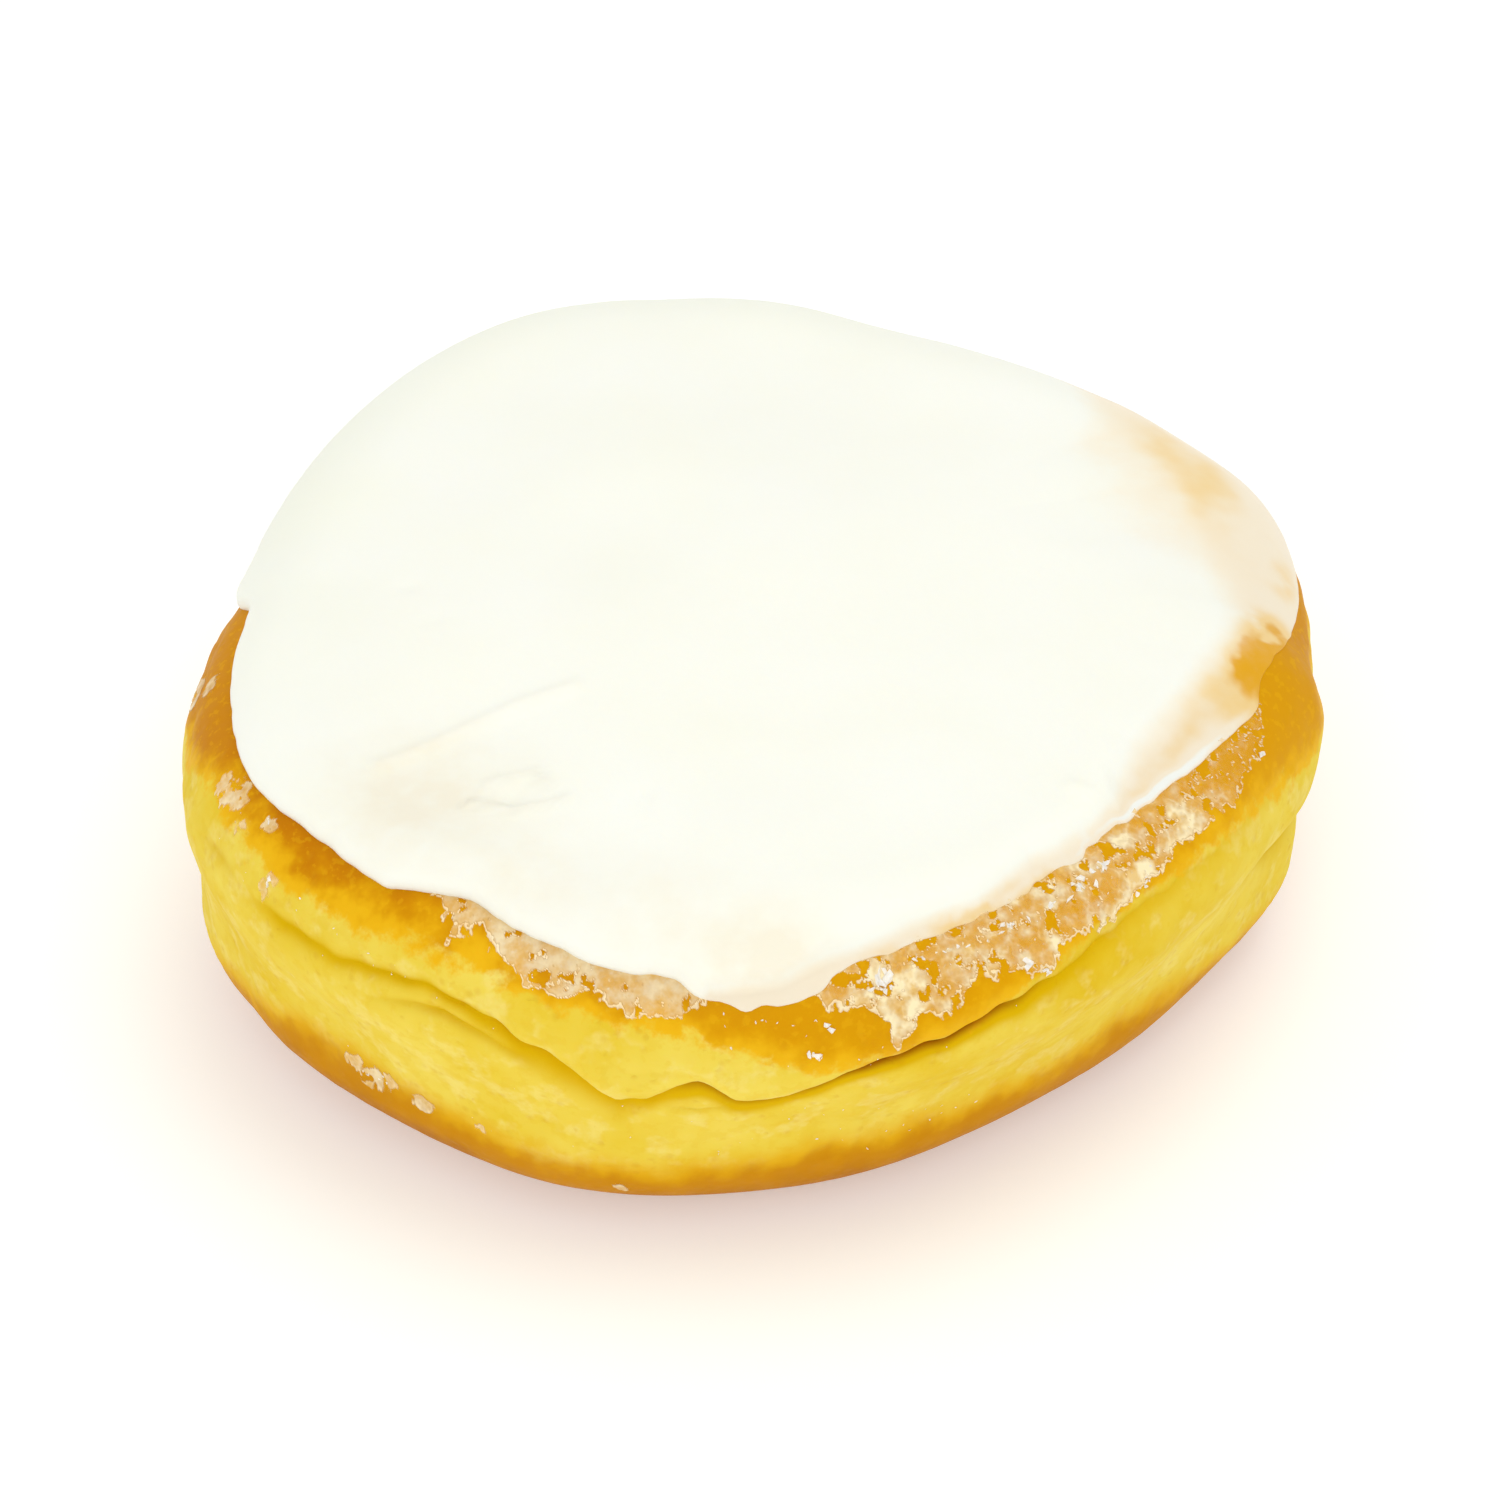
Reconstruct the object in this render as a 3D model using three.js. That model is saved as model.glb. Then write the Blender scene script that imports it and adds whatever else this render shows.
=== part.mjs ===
// A filled doughnut with white icing, at its real size.
//
// The dough is one fried piece: a low round cushion with a flat base to stand on, a lower and an
// upper bulge, and a fold that wanders round the side where the top crust meets the pale waist.
// A coat of icing covers the top and ends in a rounded lip on the shoulder. Two dried smears of
// glaze lie on the bare crust below that lip. The filling is sealed inside and doesn't show, so
// the dough is solid here.
//
// Millimetres, +Z up. The origin is the middle of the base, and -Y is the front. Every surface is
// a stack of rings round the Z axis, and angles run anticlockwise from +X seen from above.
import * as THREE from "three";

const TAU = 2 * Math.PI;
const QUARTER = Math.PI / 2;

// ---- Driving dimensions ------------------------------------------------------------------------

const BULGE_RADIUS = 46.5; // widest radius of the upper bulge, averaged round the doughnut
const BULGE_HEIGHT = 21.2; // its height above the base
const BULGE_TILT = 0.7; // how much higher it sits on the right than in the middle
const SHOULDER = 9.9; // how far the rounding from the upper bulge to the top reaches inwards
const SHOULDER_RISE = 8.8; // and how far it rises
const SHOULDER_LEAN = 0.7; // it rises this much more at the front, and less at the back
const TOP = 31.4; // height of the top's middle
const HEEL_HEIGHT = 8.3; // height of the lower bulge's widest line
const HEEL_ROUND = 10; // how far the base's rim stands in from the lower bulge
const WAIST = 0.4; // depth of the soft hollow between the bulges

const ICING = 1.8; // thickness of the icing over most of the top
const ICING_THIN = 0.6; // and where it ran thin, on the right
const THIN_ANGLE = 8;
const THIN_SPREAD = 40;
const LIP = 0.3; // how far from its edge the icing has its whole thickness, in quarter turns
const SMEAR = 0.5; // thickness of a dried smear of glaze
const GAP = 0.3; // air left between touching pieces

const FOLD_DEPTH = 1.3; // depth of the fold in the side
const FOLD_HALF = 0.09; // half its width, in stations

// The egg-shaped plan: how far the upper bulge stands out from a circle, as waves round it.
const PLAN_WAVES = [
  { waves: 2, cos: -0.4, sin: 0.2 },
  { waves: 3, cos: 1.45, sin: -0.4 },
  { waves: 4, cos: -0.1, sin: 1.2 },
];

// How far the upper bulge stands out beyond those waves: [angle, millimetres].
const PLAN_TRIM = [
  [0, -0.5],
  [13, 0.2],
  [26, 1.4],
  [41, 1.2],
  [60, 0.3],
  [88, 1.3],
  [110, 1.3],
  [120, 0.8],
  [150, -0.2],
  [168, -0.4],
  [180, 0],
  [190, 0.4],
  [202, 0.5],
  [212, 0],
  [335, 0.1],
  [350, 0.9],
];

// How far the lower bulge stands in from the upper one: [angle, millimetres].
const UNDERCUT = [
  [0, 1.6],
  [45, 2],
  [120, 2],
  [170, 1],
  [200, 1.2],
  [210, 2.3],
  [225, 2.8],
  [250, 2],
  [275, 3.6],
  [300, 5.4],
  [325, 3.9],
  [340, 2.6],
  [350, 2],
];

// The fold: [angle, height above the base]. It dips at the front, where the side has sagged.
const FOLD = [
  [0, 24.5],
  [45, 23],
  [90, 22.5],
  [135, 24],
  [180, 25],
  [212, 24.3],
  [240, 24.2],
  [260, 18.6],
  [271, 18.2],
  [295, 23.7],
  [309, 25.5],
  [330, 25.8],
];

// The icing's edge: [angle, how far up the shoulder it stops, in degrees above the widest line].
const ICING_EDGE = [
  [0, 40],
  [20, 28],
  [50, 20],
  [75, 10],
  [100, 14],
  [125, 8],
  [150, 20],
  [175, 38],
  [195, 51],
  [232, 49],
  [240, 54],
  [255, 42],
  [264, 39],
  [270, 31],
  [277, 34],
  [283, 52],
  [300, 62],
  [322, 66],
  [345, 48],
];

// Each smear: the angles it spans, and how far it hangs down the shoulder at its middle, in degrees.
const FRONT_SMEAR = { from: 240, to: 266, hang: 20 };
const RIGHT_SMEAR = { from: 286, to: 332, hang: 26 };
const SMEAR_ENDS = 5; // how far down a smear hangs at its two ends
const SMEAR_CLEAR = 4; // bare shoulder between a smear and the icing's edge

const ANGLE_STEPS = 72;

// ---- The dough's surface -----------------------------------------------------------------------

const radians = (degrees) => (degrees * Math.PI) / 180;
const mix = (a, b, t) => a + (b - a) * t;
const ease = (t) => t * t * (3 - 2 * t);

// A bump that is 1 at a middle angle and fades over a spread, all in degrees.
function bump(angle, middle, spread) {
  const away = ((((angle * 180) / Math.PI - middle + 180) % 360) + 360) % 360 - 180;
  return Math.exp(-((away / spread) ** 2));
}

// The value at an angle of a closed list of [degrees, value] points, eased between them.
function around(points, angle) {
  const degrees = ((((angle * 180) / Math.PI) % 360) + 360) % 360;
  const next = points.findIndex(([at]) => at > degrees);
  const after = next < 0 ? [points[0][0] + 360, points[0][1]] : points[next];
  const before = points[(next < 0 ? points.length : next) - 1];
  return mix(before[1], after[1], ease((degrees - before[0]) / (after[0] - before[0])));
}

function bulgeRadius(angle) {
  const out = PLAN_WAVES.reduce(
    (sum, w) => sum + w.cos * Math.cos(w.waves * angle) + w.sin * Math.sin(w.waves * angle),
    BULGE_RADIUS,
  );
  // At the back the icing hangs over the side, and the dough stands in by the icing's thickness.
  return out + around(PLAN_TRIM, angle) - ICING * Math.max(0, Math.sin(angle)) ** 1.5;
}

const heelRadius = (angle) => bulgeRadius(angle) - around(UNDERCUT, angle);

const bulgeHeight = (angle) => BULGE_HEIGHT + BULGE_TILT * Math.cos(angle);

const shoulderRise = (angle) => SHOULDER_RISE - SHOULDER_LEAN * Math.sin(angle);

// A point of the dough's section at an angle, as [radius, height]. Station 0 is the base's rim,
// 1 the lower bulge, 2 the upper bulge, 3 the top's rim and 4 the centre of the top.
function section(angle, station) {
  const heel = heelRadius(angle);
  const bulge = bulgeRadius(angle);
  const high = bulgeHeight(angle);
  const rise = shoulderRise(angle);
  if (station <= 1) {
    const turn = station * QUARTER;
    return [heel - HEEL_ROUND * (1 - Math.sin(turn)), HEEL_HEIGHT * (1 - Math.cos(turn))];
  }
  if (station <= 2) {
    const s = station - 1;
    const hollow = WAIST * Math.sin(Math.PI * s) ** 2;
    return [mix(heel, bulge, ease(s)) - hollow, mix(HEEL_HEIGHT, high, s)];
  }
  if (station <= 3) {
    const turn = (station - 2) * QUARTER;
    return [bulge - SHOULDER * (1 - Math.cos(turn)), high + rise * Math.sin(turn)];
  }
  const share = 4 - station;
  return [(bulge - SHOULDER) * share, mix(high + rise, TOP, (1 - share ** 2) ** 2)];
}

// The same point moved outwards, square to the section.
function raised(angle, station, by) {
  const step = 0.01;
  const [r, z] = section(angle, station);
  const [r0, z0] = section(angle, Math.max(0, station - step));
  const [r1, z1] = section(angle, Math.min(4, station + step));
  const long = Math.hypot(r1 - r0, z1 - z0);
  return [r + (by * (z1 - z0)) / long, z - (by * (r1 - r0)) / long];
}

function point(angle, station, by) {
  const [r, z] = raised(angle, station, by);
  return new THREE.Vector3(r * Math.cos(angle), r * Math.sin(angle), z);
}

// ---- Making solids -----------------------------------------------------------------------------

// A closed solid through loops that have the same number of points. The first and last loops are
// closed by fans. A loop's direction crossed with the way to the next loop points out of the solid.
function loft(loops) {
  const count = loops[0].length;
  const middles = [loops[0], loops.at(-1)].map((loop) =>
    loop.reduce((sum, p) => sum.add(p), new THREE.Vector3()).divideScalar(count),
  );
  const points = [...loops.flat(), ...middles];
  const last = (loops.length - 1) * count;
  const faces = [];
  for (let i = 0; i < count; i++) {
    const j = (i + 1) % count;
    for (let row = 0; row < last; row += count) {
      faces.push(row + i, row + j, row + count + j, row + i, row + count + j, row + count + i);
    }
    faces.push(points.length - 2, j, i, points.length - 1, last + i, last + j);
  }
  const geometry = new THREE.BufferGeometry().setFromPoints(points);
  geometry.setIndex(faces);
  geometry.computeVertexNormals();
  return geometry;
}

const steps = (from, to, count) =>
  Array.from({ length: count + 1 }, (_, i) => mix(from, to, i / count));

const ANGLES = steps(0, TAU, ANGLE_STEPS).slice(0, -1);

// One ring round the doughnut. The station and the height off the dough may change with the angle.
const ring = (station, by) => ANGLES.map((angle) => point(angle, station(angle), by(angle)));

function mesh(name, geometry, color, roughness) {
  const material = new THREE.MeshStandardMaterial({ color, roughness, metalness: 0 });
  const made = new THREE.Mesh(geometry, material);
  made.name = name;
  return made;
}

// ---- The pieces --------------------------------------------------------------------------------

// The station of the fold: the fold's height, found between the two bulges or on the shoulder.
function foldStation(angle) {
  const height = around(FOLD, angle);
  const high = bulgeHeight(angle);
  if (height < high) return 1 + (height - HEEL_HEIGHT) / (high - HEEL_HEIGHT);
  return 2 + Math.asin((height - high) / shoulderRise(angle)) / QUARTER;
}

function dough() {
  const flat = () => 0;
  const below = steps(0, 1, 12).map((share) =>
    ring((a) => share * (foldStation(a) - FOLD_HALF), flat),
  );
  const fold = ring(foldStation, () => -FOLD_DEPTH);
  const above = steps(0, 1, 14).map((share) =>
    ring((a) => mix(foldStation(a) + FOLD_HALF, 3.97, share), flat),
  );
  return mesh("dough", loft([...below, fold, ...above]), 0xd9a441, 0.75);
}

const icingStation = (angle) => 2 + around(ICING_EDGE, angle) / 90;

const icingThickness = (angle) => mix(ICING, ICING_THIN, bump(angle, THIN_ANGLE, THIN_SPREAD));

function icing() {
  // Shares of the way from the edge to the centre, close together over the rounded lip.
  const lip = [0, 0.15, 0.45, 1];
  const rest = steps(0, 1, 9).slice(1);
  const onLip = (share) => (angle) => icingStation(angle) + LIP * share;
  const onRest = (share) => (angle) => mix(icingStation(angle) + LIP, 3.97, share);
  const height = (share) => (angle) =>
    GAP + icingThickness(angle) * mix(0.3, 1, Math.sqrt(1 - (1 - share) ** 2));
  const outer = [
    ...lip.map((share) => ring(onLip(share), height(share))),
    ...rest.map((share) => ring(onRest(share), height(1))),
  ];
  const inner = [
    ...[...rest].reverse().map((share) => ring(onRest(share), () => GAP)),
    ...[1, 0.5, 0].map((share) => ring(onLip(share), () => GAP)),
  ];
  return mesh("icing", loft([...inner, ...outer]), 0xfbfaf0, 0.4);
}

// A smear is a thin plate on the shoulder that hangs down from just below the icing's edge.
function smear(name, { from, to, hang }) {
  const loops = steps(0, 1, 16).map((share) => {
    const angle = radians(mix(from, to, share));
    const high = icingStation(angle) - SMEAR_CLEAR / 90;
    const low = high - mix(SMEAR_ENDS, hang, Math.sin(Math.PI * share)) / 90;
    const down = steps(high, low, 4);
    return [
      ...down.map((station) => point(angle, station, GAP + SMEAR)),
      ...[...down].reverse().map((station) => point(angle, station, GAP)),
    ];
  });
  return mesh(name, loft(loops), 0xe3b98a, 0.35);
}

const doughnut = new THREE.Group();
doughnut.add(
  dough(),
  icing(),
  smear("glaze_smear_front", FRONT_SMEAR),
  smear("glaze_smear_right", RIGHT_SMEAR),
);

// The plan isn't round, so the group is moved until its box stands centred on the origin.
const box = new THREE.Box3().setFromObject(doughnut, true);
const middle = box.getCenter(new THREE.Vector3());
doughnut.position.set(-middle.x, -middle.y, -box.min.z);

export default doughnut;
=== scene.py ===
# %% [markdown]
# # A filled doughnut under white icing
#
# This lesson builds one filled doughnut: a soft fried round, a coat of white icing poured over the
# top, two smears and a few small patches of dried glaze on the bare crust, and a scatter of sugar
# flakes. Nothing moves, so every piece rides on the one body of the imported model, which also says
# where the doughnut stands. Sizes are written in millimetres, as a baker would measure them, and
# become metres where a mesh is made.

# %% Load the frame
import bmesh
import bpy
import math
import numpy as np
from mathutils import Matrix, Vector


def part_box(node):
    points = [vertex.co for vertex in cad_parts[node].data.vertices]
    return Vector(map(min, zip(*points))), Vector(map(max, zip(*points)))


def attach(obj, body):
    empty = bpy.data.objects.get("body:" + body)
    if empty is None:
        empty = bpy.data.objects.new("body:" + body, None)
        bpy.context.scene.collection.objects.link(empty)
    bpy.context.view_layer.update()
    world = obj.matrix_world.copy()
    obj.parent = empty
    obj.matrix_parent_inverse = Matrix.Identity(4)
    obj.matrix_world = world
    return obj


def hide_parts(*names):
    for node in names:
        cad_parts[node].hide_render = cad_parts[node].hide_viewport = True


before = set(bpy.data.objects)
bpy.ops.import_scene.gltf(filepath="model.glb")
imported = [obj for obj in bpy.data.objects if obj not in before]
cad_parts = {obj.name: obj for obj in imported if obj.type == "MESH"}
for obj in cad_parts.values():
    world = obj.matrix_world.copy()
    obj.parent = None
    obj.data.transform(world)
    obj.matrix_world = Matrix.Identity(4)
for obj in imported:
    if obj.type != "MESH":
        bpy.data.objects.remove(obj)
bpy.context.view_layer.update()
MM = 0.001

# %% [markdown]
# ## The shape that every piece shares
#
# Every piece lies on one surface, so that surface is written once. Seen from above it is a slightly
# egg-shaped round. Its section has a lower bulge where it floated in the fat, a hollow waist, and an
# upper bulge that rolls over into a nearly flat top. A station runs along that section: -1 is the
# middle of the underside, 0 the rim of the base, 1 the lower bulge, 2 the upper bulge, 3 the rim of the
# top and 4 its middle. Angles run anticlockwise from the right, so 270 degrees is the front.

# %% Driving sizes of the round, in millimetres
BULGE_RADIUS, BULGE_HEIGHT, BULGE_TILT = 46.5, 21.2, 0.7
SHOULDER, SHOULDER_RISE, SHOULDER_LEAN, TOP = 9.9, 8.8, 0.7, 31.4
HEEL_HEIGHT, HEEL_ROUND = 8.3, 10.0
WAIST, COAT, BASE_HOLLOW = 0.4, 1.8, 0.35
PLAN_WAVES = {2: (-0.4, 0.2), 3: (1.45, -0.4), 4: (-0.1, 1.2)}
# How far the plan stands out beyond those waves, as angle: millimetres, as in the tables below.
PLAN_TRIM = {
    0: -0.5, 13: 0.2, 26: 1.4, 41: 1.2, 60: 0.3, 88: 1.3, 110: 1.3, 120: 0.8, 150: -0.2,
    168: -0.4, 180: 0.0, 190: 0.4, 202: 0.5, 212: 0.0, 335: 0.1, 350: 0.9,
}
# How far the lower bulge stands in from the upper one.
UNDERCUT = {
    0: 1.6, 45: 2.0, 120: 2.0, 170: 1.0, 200: 1.2, 210: 2.3, 225: 2.8, 250: 2.0, 275: 3.6,
    300: 5.4, 325: 3.9, 340: 2.6, 350: 2.0,
}
print("the round is about", 2 * BULGE_RADIUS, "mm wide, and the bare dough is", TOP, "mm tall")


# %% Helpers for curves that close round the doughnut
def mix(a, b, t):
    return a + (b - a) * t


def ease(t):
    t = np.clip(t, 0, 1)
    return t * t * (3 - 2 * t)


def bump(degrees, middle, spread):
    """1 at the middle angle, fading to 0 over a spread in degrees, either way round."""
    away = (degrees - middle + 180) % 360 - 180
    return np.exp(-((away / spread) ** 2))


def columns_of(table):
    """The angles and the values of a table, as two arrays."""
    return np.array(list(table.items()), float).T


def around(table, degrees):
    """A smooth closed curve through a table of angle: value that never overshoots its values."""
    at, value = columns_of(table)
    at = np.concatenate([at[-2:] - 360, at, at[:2] + 360])
    value = np.concatenate([value[-2:], value, value[:2]])
    rise = np.diff(value) / np.diff(at)
    same_way = rise[1:] * rise[:-1] > 0
    harmonic = 2 * rise[1:] * rise[:-1] / np.where(same_way, rise[1:] + rise[:-1], 1)
    slope = np.concatenate([[0], np.where(same_way, harmonic, 0), [0]])
    turned = np.asarray(degrees) % 360
    i = np.clip(np.searchsorted(at, turned, "right") - 1, 0, len(at) - 2)
    span = at[i + 1] - at[i]
    t = (turned - at[i]) / span
    between = mix(value[i], value[i + 1], ease(t))
    return between + span * t * (1 - t) * ((1 - t) * slope[i] - t * slope[i + 1])


# %% The section of the round at any angle and station
def bulge_radius(deg):
    angle = np.radians(deg)
    out = BULGE_RADIUS + sum(
        c * np.cos(k * angle) + s * np.sin(k * angle) for k, (c, s) in PLAN_WAVES.items()
    )
    return out + around(PLAN_TRIM, deg) - COAT * np.clip(np.sin(angle), 0, 1) ** 1.5


def bulge_height(deg):
    return BULGE_HEIGHT + BULGE_TILT * np.cos(np.radians(deg))


def shoulder_rise(deg):
    return SHOULDER_RISE - SHOULDER_LEAN * np.sin(np.radians(deg))


def section(deg, station):
    """Radius and height, in millimetres, of the smooth round."""
    bulge, high, rise = bulge_radius(deg), bulge_height(deg), shoulder_rise(deg)
    heel = bulge - around(UNDERCUT, deg)
    base_share = np.clip(1 + station, 0, 1)
    low_turn = np.clip(station, 0, 1) * math.pi / 2
    s = np.clip(station - 1, 0, 1)
    high_turn = np.clip(station - 2, 0, 1) * math.pi / 2
    share = np.clip(4 - station, 0, 1)
    # The underside, the round of the heel, the waist, the shoulder and the top.
    parts = [
        ((heel - HEEL_ROUND) * base_share, BASE_HOLLOW * ease(1.6 - 1.8 * base_share)),
        (heel - HEEL_ROUND * (1 - np.sin(low_turn)), HEEL_HEIGHT * (1 - np.cos(low_turn))),
        (
            mix(heel, bulge, ease(s)) - WAIST * np.sin(math.pi * s) ** 2,
            mix(HEEL_HEIGHT, high, s),
        ),
        (bulge - SHOULDER * (1 - np.cos(high_turn)), high + rise * np.sin(high_turn)),
        ((bulge - SHOULDER) * share, mix(high + rise, TOP, (1 - share**2) ** 2)),
    ]
    which = [station <= limit for limit in range(4)]
    return [np.select(which, [part[i] for part in parts[:4]], parts[4][i]) for i in (0, 1)]


def station_at(deg, height):
    """The station of a height on the waist or the shoulder."""
    high = bulge_height(deg)
    on_waist = 1 + (height - HEEL_HEIGHT) / (high - HEEL_HEIGHT)
    share = np.clip((height - high) / shoulder_rise(deg), 0, 1)
    return np.where(height < high, on_waist, 2 + np.arcsin(share) / (math.pi / 2))


FRONT = np.array([270.0])
at_front = np.ravel(section(FRONT, np.array([2.0])))
print("radius and height of the upper bulge at the front, in mm:", np.round(at_front, 1))


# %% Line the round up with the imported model
def plan_middle():
    deg = np.arange(0, 360, 0.5)
    x, y = bulge_radius(deg) * np.cos(np.radians(deg)), bulge_radius(deg) * np.sin(np.radians(deg))
    return np.array([x.min() + x.max(), y.min() + y.max(), 0]) / 2


low, high = (np.array(corner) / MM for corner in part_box("dough"))
SHIFT = (low + high) / 2 * [1, 1, 0] - plan_middle()
print("the round's axis stands at", np.round(SHIFT, 2), "mm")

# %% [markdown]
# ## Noise with a size
#
# Fried dough is lumpy at every scale: broad swells, knuckle-sized bumps and fine wrinkles. A lattice
# of random numbers, blended smoothly between its points, gives such unevenness at a chosen size in
# millimetres. It is seeded, so the same doughnut comes out of the fryer each time.

# %% Smooth noise from a seeded lattice
LATTICE_SIDE = 32
LATTICE = np.random.default_rng(7).uniform(-1, 1, (LATTICE_SIDE,) * 3)
# Each seed reads another part of the lattice, this far along this direction from the last one.
SEED_WAY, SEED_STEP = np.array([0.37, 0.71, 0.13]), 9.7
# Blending brings the values closer to 0, and this stretches them out again.
STRETCH = 1.4
print("the lattice holds", LATTICE.size, "random values")


def noise(points, size, seed=0):
    """Values from about -1 to 1 that change over `size` millimetres (one size, or one per axis)."""
    p = points / np.asarray(size, float) + SEED_WAY * (seed + 1) * SEED_STEP
    cell = np.floor(p).astype(int)
    f = p - cell
    f = f * f * f * (f * (6 * f - 15) + 10)
    total = 0
    for corner in np.ndindex(2, 2, 2):
        weight = np.prod(np.where(corner, f, 1 - f), axis=-1)
        i, j, k = np.moveaxis((cell + corner) % LATTICE_SIDE, -1, 0)
        total = total + weight * LATTICE[i, j, k]
    return total * STRETCH


def rough(points, size, seed=0, octaves=3):
    """Noise with finer noise on top, each octave half as large and half as high."""
    size = np.asarray(size, float)
    layers = [noise(points, size / 2**n, seed + 3 * n) / 2**n for n in range(octaves)]
    return sum(layers) / STRETCH


# %% [markdown]
# ## From rings to a mesh
#
# The dough and the icing are each a stack of rings with the same number of points. Neighbouring
# rings are joined by quads, and a fan closes each end, which gives one closed skin. Values that
# belong to the surface, such as how far a point lies above the edge of the browned crust, are stored
# on the points as named attributes, and the materials read them later.

# %% Points, normals and distances on the smooth round
COLUMNS = 720
DEGREES = np.arange(COLUMNS) * 360 / COLUMNS
# Millimetres along the section at each whole station, counted from the rim of the base.
RUN = [-32, 0, 13, 26.5, 41.2, 77]
# A normal can't be measured at the two middles, so it is measured no nearer to them than this.
LOWEST, HIGHEST = -0.999, 3.999
print("points round the doughnut are", round(2 * math.pi * BULGE_RADIUS / COLUMNS, 2), "mm apart")


def place(deg, radius, height):
    """Points in millimetres from an angle, a radius and a height."""
    angle = np.radians(deg)
    return np.stack([radius * np.cos(angle), radius * np.sin(angle), height + 0 * radius], -1)


def unit(vectors):
    return vectors / np.maximum(np.linalg.norm(vectors, axis=-1, keepdims=True), 1e-9)


def surface(deg, station):
    """Points of the smooth round, with unit vectors out of it and up along its section."""
    side, step = 0.2, 0.004
    along = place(deg + side, *section(deg + side, station))
    along = along - place(deg - side, *section(deg - side, station))
    higher, lower = np.minimum(station + step, HIGHEST), np.maximum(station - step, LOWEST)
    up = place(deg, *section(deg, higher)) - place(deg, *section(deg, lower))
    return place(deg, *section(deg, station)), unit(np.cross(along, up)), unit(up)


def run(station):
    """Millimetres along the section, counted from the rim of the base."""
    return np.interp(station, range(-1, 5), RUN)


# %% Meshes from rings
def put_in_scene(name, data):
    """A new object that holds a mesh, a lamp or a camera."""
    made = bpy.data.objects.new(name, data)
    bpy.context.scene.collection.objects.link(made)
    return made


def mesh_from_rings(name, rings, values):
    """A smooth closed mesh through rings[row, column], with a point attribute for each value."""
    rows, columns = rings.shape[:2]
    index = np.arange(rows * columns).reshape(rows, columns)
    right = np.roll(index, -1, 1)
    quads = np.stack([index[:-1], right[:-1], right[1:], index[1:]], -1).reshape(-1, 4).tolist()
    first, last = np.full(columns, rows * columns), np.full(columns, rows * columns + 1)
    fans = np.stack([right[0], index[0], first], -1).tolist()
    fans += np.stack([index[-1], right[-1], last], -1).tolist()
    points = np.concatenate([rings.reshape(-1, 3), rings[[0, -1]].mean(1)])
    values = {
        key: np.concatenate([value.reshape(-1), value[[0, -1]].mean(1)])
        for key, value in values.items()
    }
    return new_piece(name, points, quads + fans, values)


def new_piece(name, points, faces, values):
    """A mesh object from points in millimetres about the round's axis."""
    mesh = bpy.data.meshes.new(name)
    mesh.from_pydata(((points + SHIFT) * MM).tolist(), [], faces)
    for key, value in values.items():
        mesh.attributes.new(key, "FLOAT", "POINT").data.foreach_set("value", value)
    mesh.shade_smooth()
    print(name, "has", len(mesh.vertices), "points and", len(mesh.polygons), "faces")
    return put_in_scene(name, mesh)


# %% [markdown]
# ## The fried dough
#
# A round of yeast dough swells as it fries. The top crust stiffens first, and the pale waist under it
# goes on swelling, so the side buckles into a fold: an upper lip that hangs a little over the bulge
# below. A texture can't give an overhang, so the fold is in the mesh. One ring of points runs along
# the bottom of the fold, the rings crowd together beside it, and the points just above it are pushed
# out and down.

# %% The path of the fold and how deep it is
FOLD_PATH = {
    0: 23.8, 45: 23, 90: 22.5, 135: 24, 180: 25, 200: 24.2, 215: 23.4, 222: 23.2, 226.5: 23.2,
    232: 23.7, 238.5: 24.3, 243: 23.8, 246: 23.1, 249: 22.1, 252: 21.2, 254.2: 20.1,
    256.5: 18.3, 258.5: 16.9, 260.5: 17.0, 262.5: 18.1, 264.5: 19.3, 266: 19.9, 267.5: 19.3,
    269.5: 17.8, 272: 17.3, 277.5: 19.3, 282.5: 21.2, 288: 22.2, 294: 23.2, 298: 23.7,
    303: 24.2, 314: 25.4, 332: 25.0,
}
FOLD_DEPTH = {
    0: 0.25, 90: 0.6, 150: 0.45, 195: 0.1, 210: 0.05, 216: 0.1, 223: 0.5, 234: 0.6, 240: 0.55,
    246: 1.0, 252: 1.7, 257: 1.8, 260: 1.2, 264: 0.8, 268.5: 1.4, 275: 1.5, 285: 1.5, 292: 1.3,
    298: 0.9, 305: 0.4, 325: 0.2, 345: 0.1,
}
# How far the hollow reaches below the fold, and how far the rounding of its lip reaches above it.
FOLD_BELOW = {
    0: 2.0, 180: 1.4, 218: 0.9, 232: 0.7, 241: 0.5, 246: 1.0, 250: 1.9, 253: 2.2, 258: 1.7,
    262: 0.9, 268: 1.1, 275: 0.7, 292: 0.7, 300: 0.9, 320: 1.2,
}
LIP_ABOVE = {
    0: 1.2, 90: 0.7, 150: 0.9, 210: 1.3, 232: 1.1, 244: 0.7, 252: 0.5, 262: 0.6, 300: 0.5,
    315: 0.9,
}
# How strongly painted shade darkens the inside of the fold.
FOLD_SHADE_AMOUNT = {
    0: 0.2, 90: 0.6, 150: 0.4, 200: 0.1, 215: 0.1, 222: 0.5, 240: 0.5, 248: 0.6, 256: 0.7,
    262: 0.6, 268: 1.5, 278: 1.9, 290: 1.8, 297: 1.0, 304: 0.5, 316: 0.3,
}
LIP_HANG, LIP_SWELL = 0.4, 0.3
print("the fold is", max(FOLD_DEPTH.values()), "mm deep where it is deepest")


# %% The rings of the dough, crowded beside the fold
# Where the rings change their spacing: the base ends, and the crust is well under the icing. The
# first and the last ring lie a little way out from the middles.
BASE_END, CRUST_END, OUT_FROM_MIDDLE = 0.3, 2.78, 0.02
BASE_RINGS, WAIST_RINGS, CRUST_RINGS, HIDDEN_RINGS, CROWDING = 18, 64, 45, 12, 2.0


def crowded(count, crowding):
    """Shares from 0 to 1 that lie closer together towards 0."""
    return np.expm1(crowding * np.linspace(0, 1, count)) / np.expm1(crowding)


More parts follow.
